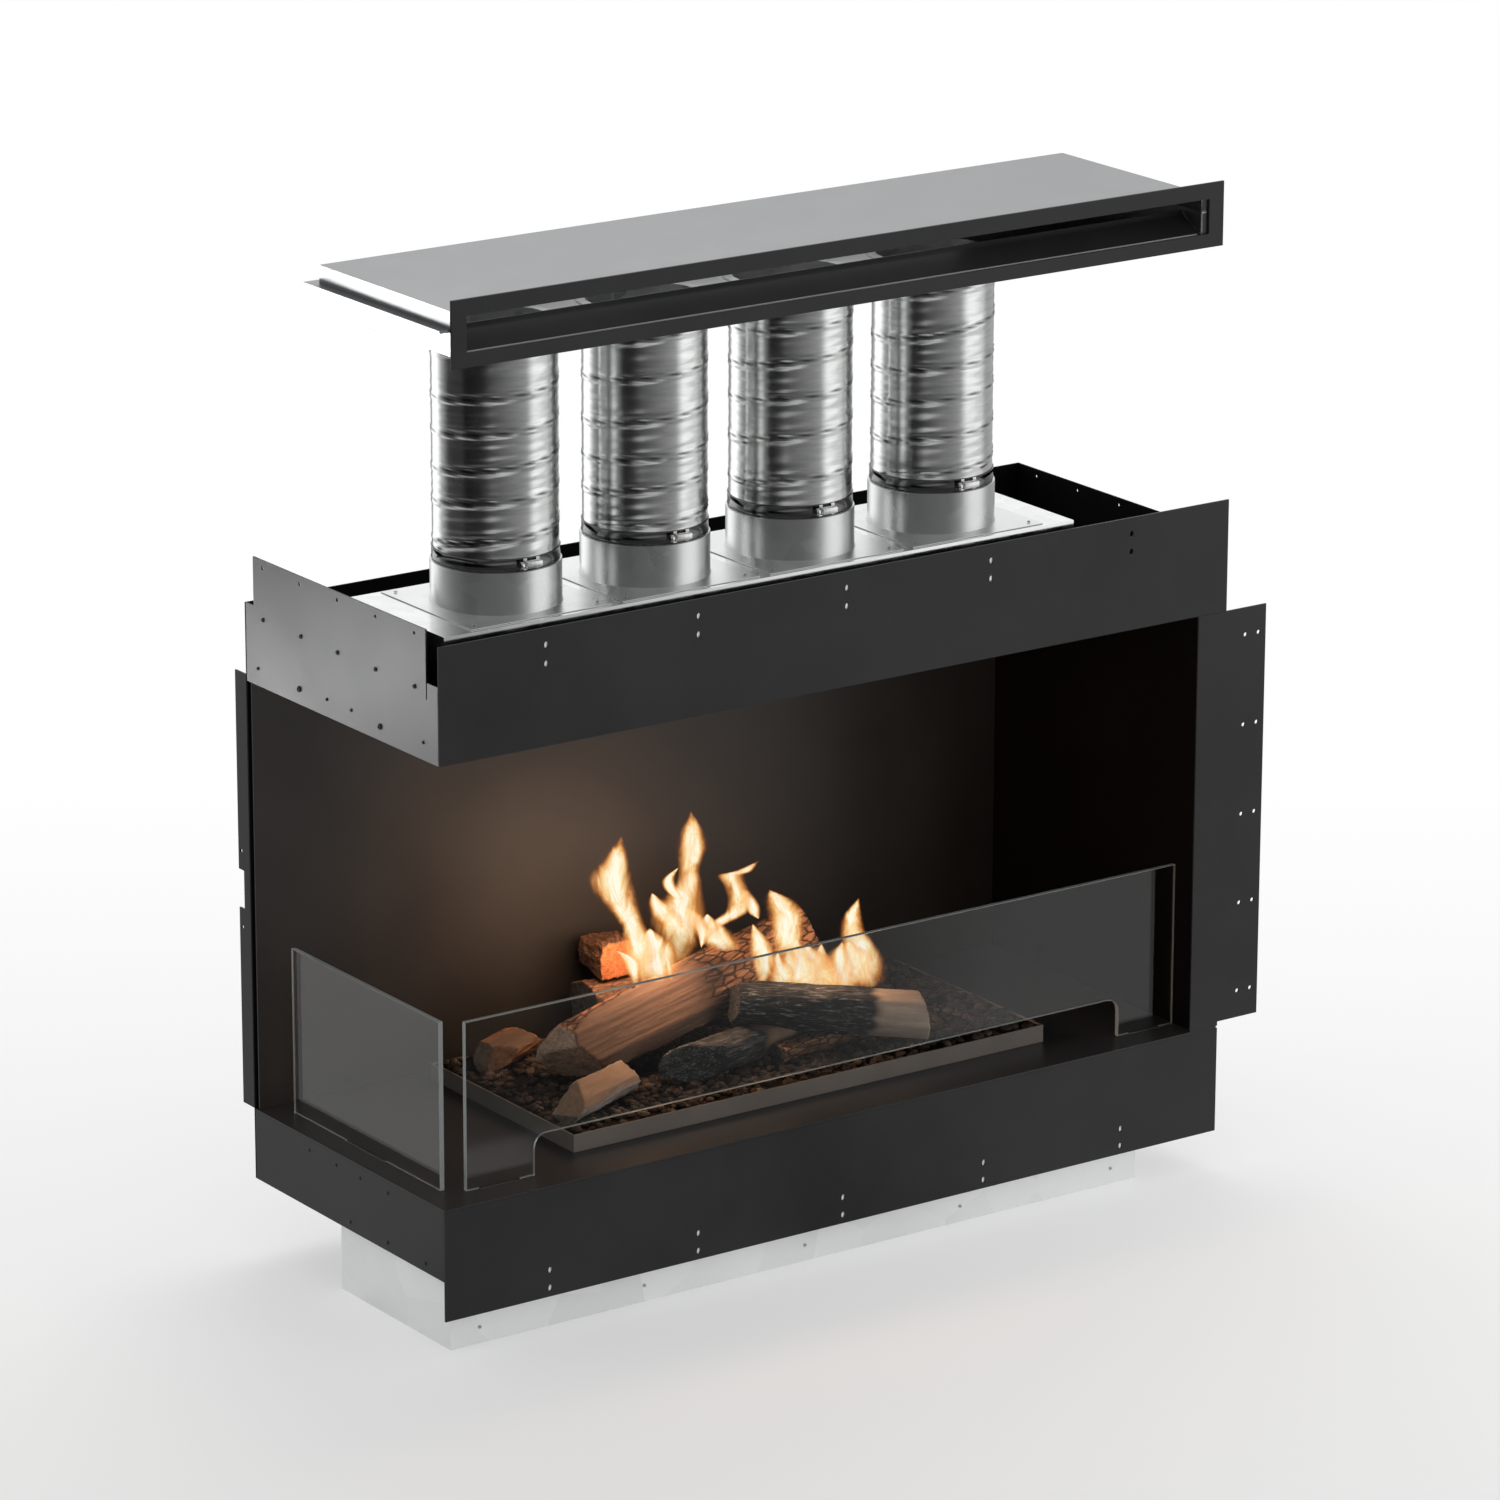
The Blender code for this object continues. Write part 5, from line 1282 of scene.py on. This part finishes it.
def studio_floor():
    """A pale floor, white far off, that shows the panels to shiny things and keeps the shadow."""
    deselect()
    bpy.ops.mesh.primitive_plane_add(size=FLOOR_SIZE, location=(0, 0, FLOOR_DROP))
    ground = named("studio_floor")
    material, tree, shader = new_material("studio_floor_white")
    feed(shader, {"Base Color": (0.86, 0.86, 0.86), "Roughness": 0.9, "Specular IOR Level": 0.1})
    place = object_place(tree)
    seen = panels(place)
    parts = add(tree, "ShaderNodeSeparateXYZ", {"Vector": place})
    x, y = parts["X"], parts["Y"]
    # The far panels take over from about 2.3 m to the front and the back and 2.2 m to the left
    far = most(spread(figure("ABSOLUTE", y), 0.0, 1.0, 2.22, 2.45), spread(x, 1.0, 0.0, -2.5, -2.0))
    # A dark card on the floor in front, all but the right end, from 0.7 m of the middle to 1.5 m
    card = times(spread(x, 1.0, 0.0, 0.10, 0.60), spread(y, 1.0, 0.0, -0.70, -0.66))
    card = times(card, spread(y, 0.0, 0.72, -1.5, -1.2))
    shown = choice(far, times(seen["Near"], minus(1.0, card, True)), seen["Far"])
    clear, shiny = ray_kinds(tree)
    # To the camera the floor turns white behind the object and far off, and keeps its shadow in front
    away = add(tree, "ShaderNodeVectorMath", {0: place, 1: (*CAMERA_AWAY, 0)}, operation="DOT_PRODUCT")["Value"]
    length = add(tree, "ShaderNodeVectorMath", {0: place}, operation="LENGTH")["Value"]
    white = most(spread(away, 0.12, 1.0, -1.2, 1.6), spread(length, 0.0, 1.0, 3.0, 8.0))
    glow = add(tree, "ShaderNodeEmission", {"Color": (1, 1, 1), "Strength": plus(clear, times(shiny, shown))})
    surface_of(tree, plus(times(clear, white), shiny, True), shader.outputs[0], glow[0])
    ground.data.materials.append(material)


def surroundings():
    """Even light from all round, white to the camera, with the panels for shiny things."""
    world = bpy.data.worlds.new("studio")
    bpy.context.scene.world = world
    world.use_nodes = True
    tree = world.node_tree
    place = add(tree, "ShaderNodeTexCoord", {})["Generated"]
    height = add(tree, "ShaderNodeSeparateXYZ", {"Vector": place})["Z"]
    above = choice(spread(height, 0.0, 1.0, 0.5, 0.85), panels(place)["Sky"], 0.35)
    clear, shiny = ray_kinds(tree)
    rest = times(minus(1.0, plus(clear, shiny), True), settings().studio_light)
    strength = plus(plus(clear, times(shiny, above)), rest)
    feed(tree.nodes["Background"], {"Color": (1, 1, 1), "Strength": strength})


def lamp(name, place, aim, size, power, shiny=True, matt=True, height=None, only=()):
    """A soft lamp aimed at a point."""
    data = bpy.data.lights.new(name, "AREA")
    data.size = size
    if height is not None:
        data.shape = "RECTANGLE"
        data.size_y = height
    data.energy = power
    thing = put_in(name, data)
    thing.visible_glossy = shiny
    thing.visible_diffuse = matt
    thing.visible_transmission = False
    thing.location = place
    thing.rotation_euler = (Vector(aim) - Vector(place)).to_track_quat("-Z", "Y").to_euler()
    if only:
        lit = bpy.data.collections.new(f"{name}_lit")
        for node in only:
            lit.objects.link(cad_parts[node])
        thing.light_linking.receiver_collection = lit


def fire_lamp(name, place, power):
    """A small warm lamp inside the flames."""
    data = bpy.data.lights.new(name, "POINT")
    data.energy = power
    data.shadow_soft_size = FIRE_RADIUS
    data.color = FIRE_GLOW
    thing = put_in(name, data)
    thing.visible_glossy = False
    thing.visible_transmission = False
    thing.location = place


def photo_camera():
    """The photograph's camera."""
    data = bpy.data.cameras.new("photo_camera")
    data.lens = CAMERA_LENS
    data.sensor_width = CAMERA_SENSOR
    data.clip_end = CAMERA_SIGHT
    thing = put_in("photo_camera", data)
    turn = Matrix.Rotation(-CAMERA_AZIMUTH, 4, "Z") @ Matrix.Rotation(math.pi / 2 - CAMERA_FALL, 4, "X")
    thing.matrix_world = Matrix.Translation(CAMERA_PLACE) @ turn @ Matrix.Rotation(CAMERA_ROLL, 4, "Z")
    bpy.context.scene.camera = thing
    bpy.context.scene.view_settings.view_transform = "Standard"


class FIREPLACE_OT_studio(bpy.types.Operator):
    """Set the floor, the lamps, the surroundings and the camera"""

    bl_idname = "fireplace.studio"
    bl_label = "Studio"

    def execute(self, context):
        studio_floor()
        surroundings()
        for *values, options in LAMPS:
            lamp(*values, **options)
        for values in FIRE_LAMPS:
            fire_lamp(*values)
        photo_camera()
        return {"FINISHED"}


class FIREPLACE_PT_panel(bpy.types.Panel):
    """Sidebar panel with the finishing steps in order"""

    bl_idname = "FIREPLACE_PT_panel"
    bl_label = "Corner fireplace"
    bl_space_type = "VIEW_3D"
    bl_region_type = "UI"
    bl_category = "Fireplace"

    def draw(self, context):
        own = context.scene.fireplace_finish
        for name in FireplaceFinish.__annotations__:
            self.layout.prop(own, name)
        for step in STEPS:
            self.layout.operator(step.bl_idname)


STEPS = [
    FIREPLACE_OT_sheets, FIREPLACE_OT_ducts, FIREPLACE_OT_collars, FIREPLACE_OT_clamps, FIREPLACE_OT_glass,
    FIREPLACE_OT_logs, FIREPLACE_OT_pebbles, FIREPLACE_OT_flames, FIREPLACE_OT_screws, FIREPLACE_OT_studio,
]
CLASSES = [FireplaceFinish, *STEPS, FIREPLACE_PT_panel]


def register():
    """Register the classes and the scene's settings."""
    for item in CLASSES:
        bpy.utils.register_class(item)
    bpy.types.Scene.fireplace_finish = bpy.props.PointerProperty(type=FireplaceFinish)


def unregister():
    """Take the classes and the settings away again."""
    del bpy.types.Scene.fireplace_finish
    for item in reversed(CLASSES):
        bpy.utils.unregister_class(item)


def main():
    """Run every step in order."""
    register()
    for step in STEPS:
        group, name = step.bl_idname.split(".")
        getattr(getattr(bpy.ops, group), name)()


if __name__ == "__main__":
    main()
